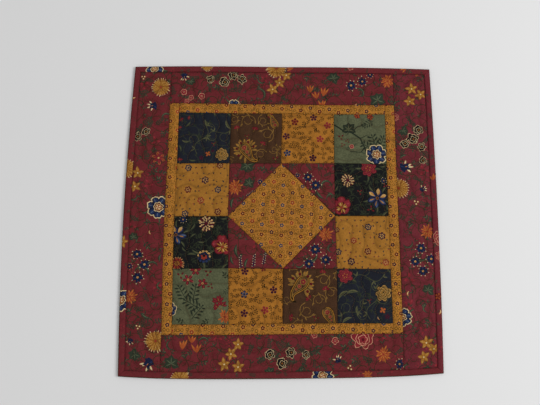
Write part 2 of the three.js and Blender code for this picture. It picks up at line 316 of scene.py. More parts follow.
def turning_points():
    """Walks round the tree, two by two points to a cell, without crossing a branch.

    The points swing to one side and the other in turn, which rounds the ends of the loops.
    """
    chance = seeded_chance(MEANDER_SEED)
    links = branching_tree(chance)
    across = MEANDER_CELLS * 2

    def linked(a, b):
        return (min(a, b), max(a, b)) in links

    def joined(i, j, di, dj):
        if not (0 <= i + di < across and 0 <= j + dj < across):
            return False
        here = j // 2 * MEANDER_CELLS + i // 2
        there = (j + dj) // 2 * MEANDER_CELLS + (i + di) // 2
        if here != there:
            return linked(here, there)
        side_i = 0 if di else (1 if i % 2 else -1)
        side_j = (1 if j % 2 else -1) if di else 0
        beside_i = i // 2 + side_i
        beside_j = j // 2 + side_j
        if not (0 <= beside_i < MEANDER_CELLS and 0 <= beside_j < MEANDER_CELLS):
            return True
        return not linked(here, beside_j * MEANDER_CELLS + beside_i)

    reach = TOPPER_HALF - MEANDER_MARGIN
    pitch = 2 * reach / (across - 1)
    points = []
    here = (0, 0)
    came_from = None
    while not points or here != (0, 0):
        i, j = here
        x = -reach + i * pitch + (2 * next(chance) - 1) * MEANDER_WANDER
        y = -reach + j * pitch + (2 * next(chance) - 1) * MEANDER_WANDER
        x += MEANDER_SWING if j % 2 else -MEANDER_SWING
        y -= MEANDER_SWING if i % 2 else -MEANDER_SWING
        points.append(Vector((x, y)))
        for di, dj in ((1, 0), (0, 1), (-1, 0), (0, -1)):
            if joined(i, j, di, dj) and (i + di, j + dj) != came_from:
                came_from = here
                here = (i + di, j + dj)
                break
    return points


def meander_line():
    """Rounds each turn with a curve between the middles of its two stretches."""
    turns = turning_points()
    line = []
    for n, turn in enumerate(turns):
        start = (turns[n - 1] + turn) / 2
        end = (turn + turns[(n + 1) % len(turns)]) / 2
        for step in range(MEANDER_POINTS_A_TURN):
            share = step / MEANDER_POINTS_A_TURN
            line.append(start.lerp(turn, share).lerp(turn.lerp(end, share), share))
    return line


def even_points(line, step):
    """Points a step apart along a closed line, each with the line's direction there."""
    points = []
    until_next = 0
    for n, start in enumerate(line):
        along = line[(n + 1) % len(line)] - start
        length = along.length
        while until_next < length:
            points.append((start + along * (until_next / length), along.normalized()))
            until_next += step
        until_next -= length
    return points


QUILTING = even_points(meander_line(), QUILTING_STEP)


def quilting_tree():
    tree = kdtree.KDTree(len(QUILTING))
    for n, (point, _) in enumerate(QUILTING):
        tree.insert(point.to_3d(), n)
    tree.balance()
    return tree


QUILTING_TREE = quilting_tree()


def distance_to_quilting(x, y):
    return QUILTING_TREE.find((x, y, 0))[2]


def distance_inside(x, y, outline):
    """How far inside a convex anticlockwise outline a point lies."""
    nearest = math.inf
    for n, (ax, ay) in enumerate(outline):
        bx, by = outline[(n + 1) % len(outline)]
        length = math.hypot(bx - ax, by - ay)
        nearest = min(nearest, ((bx - ax) * (y - ay) - (by - ay) * (x - ax)) / length)
    return nearest


def face_relief(x, y, outline):
    """The face's height at a point of a piece, and how much painted shade darkens it there, from 0 to 1."""
    from_rim = TOPPER_HALF - max(abs(x), abs(y))
    from_seam = max(distance_inside(x, y, outline), 0)
    if from_rim < OUTER_BORDER:
        from_seam = min(from_seam, max(from_rim - LAYERS_CLEAR_OF_BINDING, 0))
    from_quilting = distance_to_quilting(x, y)
    seam_rise = 1 - math.exp(-from_seam / SEAM_SLOPE)
    on_quilting = fall_off(from_quilting, QUILTING_SLOPE)
    rise = seam_rise * (1 - (1 - LOFT_LEFT_ON_QUILTING) * on_quilting)
    pucker = sum(noise.noise((x / wide, y / wide, layer)) * PUCKER_HEIGHT for wide, layer in PUCKERS)
    ditch = STITCH_DITCH_DEPTH * fall_off(from_quilting, STITCH_DITCH)
    roll = SEAM_ROLL_DEPTH * math.exp(-from_seam / SEAM_ROLL)
    height = FACE_AT_SEAM + LOFT * rise + pucker * seam_rise - ditch - roll
    free = smooth_step(LAYERS_CLEAR_OF_BINDING - SEAM_GAP, LAYERS_AT_FULL_DEPTH, from_rim)
    # Painted shade: darker near the seams and along the quilting, where the cloth dips.
    at_quilting = SHADE_AT_QUILTING * fall_off(from_quilting, QUILTING_SHADE_REACH)
    ditch_shade_mask = max(SHADE_AT_SEAM * math.exp(-from_seam), at_quilting)
    return mix(FACE_IN_BINDING, max(height, FACE_IN_BINDING), free), ditch_shade_mask


def back_relief(x, y):
    """The underside's height: flat on the table, drawn up along the quilting and into the binding."""
    from_rim = TOPPER_HALF - max(abs(x), abs(y))
    from_quilting = distance_to_quilting(x, y)
    groove = BACK_GROOVE_DEPTH * fall_off(from_quilting, BACK_GROOVE)
    wide, layer = BACK_RIPPLE
    ripple = BACK_RIPPLE_HEIGHT * (1 + noise.noise((x / wide, y / wide, layer)))
    tucked = 1 - smooth_step(LAYERS_CLEAR_OF_BINDING, LAYERS_AT_FULL_DEPTH, from_rim)
    # The second value is the painted shade along the quilting grooves.
    return mix(groove + ripple, BACK_EDGE, tucked), fall_off(from_quilting, BACK_SHADE_REACH)


# Drawing with dye.

# How the hand strays: over the cloth, round a flower, in a frill, in a petal's angle and in its length.
SWAY_OVER_CLOTH = 0.37
SWAY_ROUND_FLOWER = 0.031
FRILL_STRAY = 0.3
PETAL_TURN = 16
PETAL_STRAY = 0.25
PETAL_STEPS = 5


def arc_points(x, y, radius, start, end, steps=8):
    """Points on an arc, with its angles in degrees."""
    angles = [math.radians(mix(start, end, n / steps)) for n in range(steps + 1)]
    return [(x + radius * math.cos(a), y + radius * math.sin(a)) for a in angles]


def signed_area(points):
    return sum(a[0] * b[1] - b[0] * a[1] for a, b in zip(points, points[1:] + points[:1])) / 2


class Pen:
    """Draws one motif with patches of dye. Its unit is the motif's size, and it turns with the motif."""

    def __init__(self, patches, x, y, size, turn):
        self.patches = patches
        self.x = x
        self.y = y
        self.turn = turn
        self.along = size * math.cos(math.radians(turn))
        self.across = size * math.sin(math.radians(turn))

    def place(self, x, y):
        return self.x + x * self.along - y * self.across, self.y + x * self.across + y * self.along

    def beside(self, angle, reach, size):
        """A pen for another motif, which grows outwards beside this one."""
        x, y = self.place(*on_ring(reach, angle))
        return Pen(self.patches, x, y, size, self.turn + angle - 90)

    def sway(self, angle):
        """How far the hand strays at an angle, so that no two flowers are quite the same."""
        x = self.x * SWAY_OVER_CLOTH
        y = self.y * SWAY_OVER_CLOTH
        return noise.noise((x, y, angle * SWAY_ROUND_FLOWER + 0.5))

    def patch(self, dye, points):
        placed = [self.place(x, y) for x, y in points]
        if signed_area(placed) < 0:
            placed.reverse()
        self.patches.append((dye, placed))

    def disc(self, dye, x, y, radius, sides=8):
        self.patch(dye, arc_points(x, y, radius, 0, 360 * (1 - 1 / sides), sides - 1))

    def frilled(self, dye, radius, frills, depth=0.2, x=0, y=0, turn=0):
        """A disc with a scalloped edge."""
        points = []
        for n in range(frills * 4):
            angle = 90 * n / frills
            reach = radius * (1 - depth * (1 - abs(math.sin(math.radians(frills * angle / 2)))))
            px, py = on_ring(reach * (1 + FRILL_STRAY * self.sway(turn + angle)), angle + turn)
            points.append((x + px, y + py))
        self.patch(dye, points)

    def ribbon(self, dye, spine, half_widths):
        """A band along a spine, as wide at each point as its half width says on either side."""
        left = []
        right = []
        last = len(spine) - 1
        for n, (x, y) in enumerate(spine):
            ax, ay = spine[max(n - 1, 0)]
            bx, by = spine[min(n + 1, last)]
            length = math.hypot(bx - ax, by - ay)
            side_x = -(by - ay) / length * half_widths[n]
            side_y = (bx - ax) / length * half_widths[n]
            left.append((x + side_x, y + side_y))
            if half_widths[n] > 0:
                right.append((x - side_x, y - side_y))
        self.patch(dye, left + right[::-1])

    def line(self, dye, spine, width):
        self.ribbon(dye, spine, [width / 2] * len(spine))

    def blade(self, dye, spine, width, widest=0.5):
        """A band that tapers to both ends and is widest at that share of its spine."""
        power = math.log(0.5) / math.log(widest)
        last = len(spine) - 1
        half_widths = [width / 2 * math.sin(math.pi * (n / last) ** power) for n in range(last + 1)]
        half_widths[0] = half_widths[last] = 0
        self.ribbon(dye, spine, half_widths)

    def petal(self, dye, angle, start, end, width, widest=0.6, x=0, y=0):
        """A straight petal that points away from (x, y)."""
        stray = self.sway(angle)
        tip_x, tip_y = on_ring(1, angle + PETAL_TURN * stray)
        tip = end * (1 + PETAL_STRAY * stray)
        stops = [mix(start, tip, n / PETAL_STEPS) for n in range(PETAL_STEPS + 1)]
        self.blade(dye, [(x + tip_x * s, y + tip_y * s) for s in stops], width, widest)

    def petals(self, dye, angles, start, end, width, widest=0.6, x=0, y=0):
        for angle in angles:
            self.petal(dye, angle, start, end, width, widest, x, y)

    def lobes(self, dye, angles, out, radius, frills=4, depth=0.2):
        """Scalloped discs set in a ring."""
        for angle in angles:
            self.frilled(dye, radius, frills, depth, *on_ring(out, angle), angle)

    def leaves(self, dye, places, length, width):
        """Leaves or buds, each at its own place and angle."""
        for x, y, angle in places:
            self.petal(dye, angle, 0, length, width, 0.5, x, y)


def ring_of(count, turn=0):
    return [turn + 360 * n / count for n in range(count)]


def on_ring(radius, angle):
    return radius * math.cos(math.radians(angle)), radius * math.sin(math.radians(angle))


# Flowers. Each reaches about 1 from its middle and is drawn from the back, ring by ring.


def mum(pen):
    """Rings of narrow petals with pale tips, one over the other."""
    for count, reach, tips in ((25, 1, "cream"), (20, 0.8, "straw"), (15, 0.6, "straw"), (10, 0.4, "straw")):
        pen.disc("ochre", 0, 0, reach * 0.84, 16)
        for angle in ring_of(count, reach * 90):
            pen.petal("gold", angle, reach * 0.4, reach, 0.13)
            pen.petal(tips, angle, reach * 0.82, reach, 0.065)
    pen.disc("brick", 0, 0, 0.1)


def aster(pen):
    """A dark star with a pale tick at the end of each petal."""
    pen.petals("cream", ring_of(8, 10), 0.74, 1.12, 0.17, 0.5)
    pen.petals("ink", ring_of(8, 10), 0.05, 0.95, 0.48, 0.5)
    pen.petals("blue", ring_of(4, 32), 0.25, 0.8, 0.16)
    pen.disc("straw", 0, 0, 0.22, 6)
    pen.disc("amber", 0, -0.06, 0.15, 6)


def spider(pen):
    """A ragged flower of two rings of long thin petals."""
    pen.disc("brick", 0, 0, 0.5)
    pen.petals("rust", ring_of(8, 40), 0.1, 0.86, 0.26, 0.62)
    pen.petals("rust", ring_of(8, 62), 0.1, 1.08, 0.24, 0.62)
    pen.petals("amber", ring_of(8, 62), 0.6, 1.04, 0.1)
    pen.petals("brick", ring_of(9, 12), 0.05, 0.56, 0.14)
    pen.petals("amber", ring_of(9, 30), 0.1, 0.5, 0.1)


def star(pen):
    pen.petals("ochre", ring_of(5, 18), 0, 1.04, 0.6, 0.45)
    pen.petals("gold", ring_of(5, 18), 0, 0.98, 0.44, 0.45)
    pen.petals("straw", ring_of(5, 23), 0.4, 0.85, 0.08)
    pen.petals("ochre", ring_of(5, 54), 0.08, 0.44, 0.12)
    pen.disc("cream", 0, 0, 0.12)


def red_star(pen):
    pen.petals("maroon", ring_of(5, 18), 0, 1.02, 0.6, 0.58)
    pen.petals("red", ring_of(5, 18), 0.15, 0.9, 0.3)
    pen.petals("blush", ring_of(5, 18), 0.88, 1.04, 0.1, 0.5)
    pen.disc("straw", 0, 0, 0.2)
    pen.disc("brick", 0, 0, 0.12)


def black_rose(pen):
    for radius, frills, x, y, turn in ((0.97, 6, 0, 0, 0), (0.52, 4, 0.05, -0.08, 20)):
        pen.frilled("cream", radius, frills, 0.24, x, y, turn)
        pen.frilled("black", radius - 0.07, frills, 0.24, x, y, turn)
    for angle in (20, 140, 260):
        pen.blade("cream", arc_points(0, 0, 0.72, angle, angle + 40, 4), 0.06)
    pen.disc("ochre", 0.05, -0.1, 0.17)


def wide_rose(pen):
    """Dark blue lobes with pale rims, about a heart of many rings."""
    pen.lobes("cream", ring_of(7, 12), 0.6, 0.42, 5, 0.12)
    pen.lobes("ink", ring_of(7, 12), 0.58, 0.35, 5, 0.12)
    pen.lobes("blue", ring_of(7, 12), 0.66, 0.22)
    pen.petals("sky", ring_of(7, 12), 0.45, 0.82, 0.08)
    for dye, radius in (("cream", 0.46), ("maroon", 0.39), ("straw", 0.29), ("brick", 0.22)):
        pen.frilled(dye, radius, 7)
    pen.petals("cream", ring_of(4, 30), 0.02, 0.22, 0.12)


def full_rose(pen):
    for radius, frills, y, turn in ((1, 7, 0, 0), (0.68, 5, -0.08, 15), (0.44, 5, -0.14, 40)):
        pen.frilled("blush", radius, frills, 0.2, 0, y, turn)
        pen.frilled("red", radius - 0.065, frills, 0.2, 0, y, turn)
    pen.petals("rose", (70, 110, 150, 30), 0.6, 0.9, 0.14)
    pen.disc("maroon", 0, -0.14, 0.14)


def bell(pen):
    """A small dark flower from the side, with long pale tips."""
    pen.petals("cream", (28, 62, 96, 150), 0.2, 1.1, 0.24)
    pen.frilled("ink", 0.56, 4, 0.2, 0, -0.1)
    pen.petals("ink", (45, 110, 205, 335), 0, 0.8, 0.4)
    pen.petals("blue", (70, 230), 0, 0.6, 0.2)
    pen.petal("amber", 82, 0.05, 0.4, 0.12)


def pink(pen):
    for dye, radius in (("blush", 1), ("red", 0.86), ("blush", 0.3)):
        pen.frilled(dye, radius, 5, 0.24)
    pen.disc("maroon", 0, 0, 0.2, 6)


def tulip(pen):
    pen.petals("leaf", (140, 40), 0, 0.6, 0.16, y=-0.8)
    pen.petal("brick", 90, 0, 1.5, 0.75, 0.4, y=-0.85)
    pen.petals("rust", (62, 118, 88), 0.1, 1.65, 0.4, 0.5, y=-0.85)
    pen.petals("amber", (62, 118, 88), 0.8, 1.58, 0.1, 0.5, y=-0.85)


def lily(pen):
    pen.petals("amber", (95, 30, 150, 330, 215, 265), 0.3, 1.04, 0.4, 0.55)
    pen.petals("red", (95, 30, 150, 330, 215, 265), 0.05, 0.98, 0.34, 0.55)
    pen.petals("rust", (103, 38, 158, 338), 0.3, 0.85, 0.12)
    pen.disc("straw", 0, 0, 0.15)


def peony(pen, petals="scroll", rim="straw", dark="bark", streak="gold"):
    """Cupped rings of petals, each with a pale rim and a dark edge."""
    for n, (radius, frills) in enumerate(((1, 7), (0.8, 6), (0.6, 5), (0.38, 4))):
        x, y = on_ring(0.05 * n, 70 + 30 * n)
        for dye, inset in ((dark, 0), (rim, 0.08), (petals, 0.13)):
            pen.frilled(dye, radius - inset, frills, 0.26, x, y, 23 * n)
    pen.petals(streak, ring_of(5, 30), 0.12, 0.4, 0.08)
    pen.disc(dark, 0, 0.1, 0.1)


def bowl_flower(pen):
    """Broad red petals about a striped heart."""
    pen.lobes("maroon", ring_of(5, 20), 0.55, 0.5, 4, 0.1)
    pen.lobes("red", ring_of(5, 20), 0.6, 0.38, 4, 0.1)
    pen.petals("rose", ring_of(5, 20), 0.5, 0.88, 0.16)
    pen.frilled("maroon", 0.6, 7, 0.25, -0.02, -0.2)
    pen.petals("gold", ring_of(8), 0.08, 0.6, 0.13, y=-0.2)
    pen.petals("straw", ring_of(4, 22), 0.08, 0.6, 0.12, y=-0.2)
    pen.disc("brick", -0.02, -0.2, 0.14)


def two_tone(pen):
    """A star flower with pale petals above and dark ones below."""
    pen.petals("ink", ring_of(6, 18), 0.05, 1.04, 0.6)
    pen.petals("blue", ring_of(6, 18), 0.1, 0.94, 0.42)
    pen.petals("straw", (24, 84, 144), 0.3, 1, 0.34)
    pen.petals("sky", (204, 264, 324), 0.4, 0.96, 0.12)
    pen.petals("gold", ring_of(6, 14), 0.25, 0.8, 0.12)
    pen.disc("ochre", 0, 0, 0.16)
    pen.disc("black", 0, 0, 0.09)


def striped_bloom(pen):
    """A ruffled ball of pale petals over dark red ones."""
    pen.frilled("maroon", 0.92, 9)
    for count, reach in ((12, 1), (9, 0.72), (6, 0.44)):
        for angle in ring_of(count, reach * 70):
            pen.petal("plum", angle, 0.1, reach, 0.34, 0.66)
            pen.petal("straw", angle, reach * 0.4, reach * 0.95, 0.18, 0.7)
            pen.petal("cream", angle + 5, reach * 0.62, reach * 0.9, 0.07)


def round_bloom(pen):
    pen.lobes("straw", range(0, 190, 33), 0.8, 0.2)
    pen.lobes("blue", range(198, 350, 33), 0.8, 0.2)
    pen.frilled("ink", 0.76, 8, 0.15)
    pen.frilled("brick", 0.46, 6, 0.22, 0, -0.08)
    pen.disc("black", 0, 0.12, 0.22)


def half_mum(pen):
    pen.petals("maroon", ring_of(17), 0.1, 1, 0.34)
    pen.petals("brick", ring_of(8, 10), 0.1, 0.9, 0.3)
    pen.petals("straw", ring_of(17), 0.66, 0.98, 0.11)
    pen.disc("maroon", 0, 0, 0.46)
    pen.petals("gold", ring_of(8), 0.05, 0.42, 0.12)


def blossom(pen):
    pen.frilled("maroon", 0.95, 5, 0.25)
    pen.petals("rust", ring_of(5, 36), 0.1, 0.86, 0.42)
    pen.petals("maroon", ring_of(5, 36), 0.15, 0.6, 0.1)


def fan_flower(pen):
    """A small red flower seen from the side, on a short stem."""
    pen.line("scroll", [(-0.1, -1), (0, -0.6), (0, -0.3)], 0.1)
    for angle in (150, 30, 120, 60, 90):
        pen.petal("maroon", angle, 0, 1.1, 0.5, y=-0.4)
        pen.petal("red", angle, 0.15, 1, 0.28, y=-0.4)
    pen.petal("scroll", 90, 0, 0.6, 0.14, y=-0.4)


def dotted_flower(pen, petals="maroon", heart="straw", count=6, size=0.36):
    """Round petals about a pale star with a dark eye."""
    pen.disc(petals, 0, 0, 0.36, 6)
    for angle in ring_of(count, 12):
        pen.disc(petals, *on_ring(0.66, angle), size, 6)
    pen.petals(heart, ring_of(count, 12), 0.14, 0.68, 0.22)
    pen.disc(petals, 0, 0, 0.2, 5)


# Columns: x and y along the drop's spine, and half its width there.
DROP_SPINE = (
    (0.02, 0.62, 0),
    (0.025, 0.57, 0.19),
    (0.03, 0.46, 0.33),
    (0.04, 0.28, 0.42),
    (0.04, 0.06, 0.44),
    (0, -0.24, 0.38),
    (-0.06, -0.56, 0.28),
    (-0.08, -0.86, 0.19),
    (0.02, -1.12, 0.13),
    (0.22, -1.26, 0.07),
    (0.44, -1.2, 0),
)


def paisley(pen, fringe=True):
    """A drop with a curled tail, petals round its head and rosettes inside."""
    if fringe:
        pen.petals("scroll", range(-35, 236, 16), 0.4, 0.95, 0.19)
        pen.petals("gold", range(-35, 236, 16), 0.68, 0.94, 0.06)
        pen.lobes("maroon", range(-15, 230, 49), 0.68, 0.11)
    for dye, inset in (("bark", -0.04), ("gold", 0), ("bark", 0.06), ("scroll", 0.11), ("brown", 0.16)):
        kept = [(x, y, half - inset) for x, y, half in DROP_SPINE if half > inset]
        pen.ribbon(dye, [(x, y) for x, y, _ in kept], [half for _, _, half in kept])
    for x, y, radius in ((0.04, 0.2, 0.19), (0, -0.2, 0.13), (-0.06, -0.5, 0.07)):
        pen.disc("scroll", x, y, radius * 1.3)
        pen.frilled("red", radius, 5, 0.2, x, y)
        pen.disc("gold", x, y, radius * 0.3, 5)


# Leaves, stems and buds. What has an upper end points it along +Y.


def ivy(pen, dye="leaf", vein="leaf_light"):
    pen.petals(dye, (90, 38, 142, -24, 204), 0, 1, 0.8, 0.45, y=-0.1)
    pen.petals(vein, (90, 38, 142, -24, 204), 0, 0.75, 0.1, 0.4, y=-0.1)
    pen.line(dye, arc_points(-0.7, -0.3, 0.7, 0, -60, 4), 0.08)


def fern(pen, dye="leaf", pairs=5, reach=0.58, width=0.27):
    pen.line(dye, [(0.05, -1), (0, -0.3), (0.03, 0.3), (0, 0.85)], 0.08)
    for n in range(pairs):
        pen.petals(dye, (32, 148), 0.04, reach * (1 - 0.09 * n), width, y=1.75 * n / pairs - 0.75)
    pen.petal(dye, 90, 0, 0.36, 0.2, y=0.72)


def sprig(pen, dye="leaf", light="leaf_light"):
    pen.line(dye, [(0, -1), (0.1, -0.4), (0, 0.3)], 0.1)
    for y in (-0.55, 0):
        pen.petals(dye, (25, 155), 0, 0.65, 0.32, 0.5, y=y)
    pen.petal(dye, 90, 0, 0.8, 0.34, 0.45, y=0.2)
    pen.petals(light, (28, 94), 0.1, 0.6, 0.13, 0.45, y=0.1)


def slender_leaf(pen, dye="leaf", light="leaf_light"):
    pen.blade(dye, arc_points(1.6, 0, 1.6, 215, 145, 6), 0.44)
    pen.blade(light, arc_points(1.66, 0, 1.6, 205, 155, 5), 0.14)
    pen.line(dye, [(0.28, -0.92), (0.42, -1.1), (0.5, -1.35)], 0.08)


def hook_leaf(pen, dye="leaf", light="leaf_light"):
    """A long leaf that curls over like a comma."""
    pen.blade(dye, arc_points(0, 0, 0.75, 205, -12, 9), 0.36, 0.55)
    pen.blade(light, arc_points(0, 0.03, 0.76, 165, 20, 6), 0.12)


def curl(pen, dye="vine", width=0.1):
    """A tendril that winds in on itself."""
    pen.line(dye, [on_ring(1 - 0.05 * n, 27 * n - 60) for n in range(12)], width)


def arch(pen, dye="vine", leaf="leaf", width=0.09):
    """A stem bent in a long bow, with small leaves."""
    pen.line(dye, arc_points(0, -0.7, 1.2, 25, 155, 9), width)
    pen.leaves(leaf, ((0, 0.5, 60), (-0.6, 0.34, 250), (0.55, 0.36, 10), (-0.95, 0, 170)), 0.42, 0.2)


def vine(pen, stem="vine", leaf="leaf", light="leaf_light", width=0.042):
    """A stem in a long S, with leaves in pairs along it and a tendril at each bend."""
    spine = [(mix(-1, 1, n / 12), 0.3 * math.sin(math.pi * n / 6)) for n in range(13)]
    pen.line(stem, spine, width)
    pen.line(stem, arc_points(-0.12, 0.48, 0.3, -100, 160, 8), width * 0.8)
    pen.line(stem, arc_points(0.4, -0.6, 0.3, 80, 330, 8), width * 0.8)
    for x, y, angle in ((-0.7, 0.24, 95), (0.3, -0.26, 260), (0.95, -0.1, 20)):
        pen.petals(leaf, (angle - 32, angle + 32), 0, 0.3, 0.085, 0.45, x, y)
        pen.petal(light, angle + 30, 0.06, 0.24, 0.03, 0.45, x, y)


def branch(pen):
    """A forked branch that runs down the cloth."""
    for width, spine in (
        (0.05, [(-0.9, 0.5), (-0.6, 0.28), (-0.3, 0.2), (0, 0), (0.15, -0.35), (0.35, -0.9)]),
        (0.03, [(-0.3, 0.2), (-0.1, 0.42), (0.2, 0.5)]),
        (0.03, [(0.15, -0.35), (0, -0.5), (-0.35, -0.48)]),
        (0.025, [(0, 0), (0.2, 0.1), (0.4, 0.02)]),
    ):
        pen.line("leaf_dark", spine, width)


def scroll(pen, dye="scroll"):
    """A stem that forks into thin scrolls with narrow leaves."""
    pen.line(dye, arc_points(0, 0, 0.8, -70, 130, 8), 0.06)
    pen.line(dye, arc_points(0.1, 0.1, 0.4, 100, 300, 6), 0.05)
    pen.line(dye, arc_points(1, -0.6, 0.75, 170, 100, 5), 0.05)
    pen.leaves(dye, ((0.3, -0.7, 200), (0.8, 0.1, 60), (0.5, 0.6, 90), (-0.3, 0.75, 170)), 0.42, 0.12)


def twig(pen, dye="bark"):
    pen.line(dye, [(-0.1, -1), (0.08, 0), (-0.05, 0.8)], 0.15)
    leaves = ((0.02, -0.6, 35), (0.02, -0.25, 150), (0.06, 0.1, 40), (0, 0.4, 145), (-0.05, 0.7, 80))
    for x, y, angle in leaves:
        pen.petal(dye, angle, 0.14, 0.85, 0.44, 0.6, x, y)


def seed_bud(pen, dye="maroon"):
    pen.petal(dye, 90, -0.3, 0.7, 0.8, 0.5)
    pen.petals("moss_dark", (250, 320, 200), 0, 0.9, 0.34, 0.5, y=-0.2)


def berries(pen):
    for x, y in ((-0.5, 0.45), (0.5, 0.25), (-0.05, -0.5)):
        pen.line("vine", [(0, 1), (x, y)], 0.12)
        pen.disc("ochre", x, y, 0.38)
        pen.disc("cream", x - 0.05, y + 0.06, 0.24)


def beads(pen):
    """Pale buds in pairs up a dark stem."""
    pen.line("ink", [(0, -1.1), (0.04, 1)], 0.12)
    for n in range(5):
        for side in (-1, 1):
            y = 0.42 * n - 0.9 + 0.1 * side
            pen.disc("ink", side * (0.2 - 0.02 * n), y, 0.15, 6)
            pen.disc("cream", side * (0.22 - 0.02 * n), y + 0.03 * side, 0.08, 5)


def crescent(pen):
    pen.blade("amber", arc_points(0.3, 0, 0.8, 120, 240, 6), 0.42)
    pen.blade("cream", arc_points(0.36, 0.04, 0.8, 130, 225, 6), 0.2)


def buds(pen, stem="vine", outer="red", inner="rose"):
    """Three small buds on short stems."""
    for x, y, angle in ((-0.5, 0.25, 140), (0.42, 0.42, 55), (0.1, -0.5, 290)):
        pen.line(stem, [(0, 0), (x, y)], 0.11)
        pen.petal(outer, angle, -0.3, 0.55, 0.55, 0.5, x, y)
        pen.petal(inner, angle, 0.05, 0.45, 0.15, 0.5, x, y)


MOTIFS = {
    motif.__name__: motif
    for motif in (
        arch, aster, beads, bell, berries, black_rose, blossom, bowl_flower, branch, buds, crescent, curl,
        fan_flower, fern, full_rose, half_mum, hook_leaf, ivy, lily, mum, paisley, peony, pink, red_star,
        round_bloom, scroll, slender_leaf, spider, sprig, star, striped_bloom, tulip, two_tone, vine,
        wide_rose,
    )
}
MOTIFS |= {
    "dark_fern": partial(fern, dye="leaf_dark", pairs=4, reach=0.85, width=0.2),
    "dark_ivy": partial(ivy, dye="leaf_dark", vein="moss"),
    "dark_leaf": partial(slender_leaf, dye="moss_dark", light="moss"),
    "dark_sprig": partial(sprig, dye="deep_leaf", light="moss_dark"),
    "dark_vine": partial(vine, stem="moss_dark", leaf="deep_leaf", light="moss_dark", width=0.034),
    "moss_leaf": partial(slender_leaf, dye="moss", light="moss_dark"),
    "moss_vine": partial(vine, stem="moss_stem", leaf="moss", light="moss_dark", width=0.034),
    "tonal_curl": partial(curl, dye="green_tone", width=0.2),
    "red_buds": partial(buds, stem="scroll", outer="maroon", inner="red"),
    "red_peony": partial(peony, petals="red", rim="rose", dark="maroon"),
    "bare_paisley": partial(paisley, fringe=False),
    "maroon_flower": partial(dotted_flower, petals="maroon"),
    "navy_flower": partial(dotted_flower, petals="ink"),
    "plum_flower": partial(dotted_flower, petals="plum"),
    "rust_flower": partial(dotted_flower, petals="brick"),
    "orange_flower": partial(dotted_flower, petals="rust", heart="amber", count=4, size=0.4),
    "maroon_bloom": partial(dotted_flower, petals="maroon", heart="brick", count=5),
    "navy_bloom": partial(dotted_flower, petals="ink", heart="sky", count=5),
    "plum_bloom": partial(dotted_flower, petals="plum", heart="maroon", count=5),
    "red_bloom": partial(dotted_flower, petals="red", heart="brick", count=5),
}

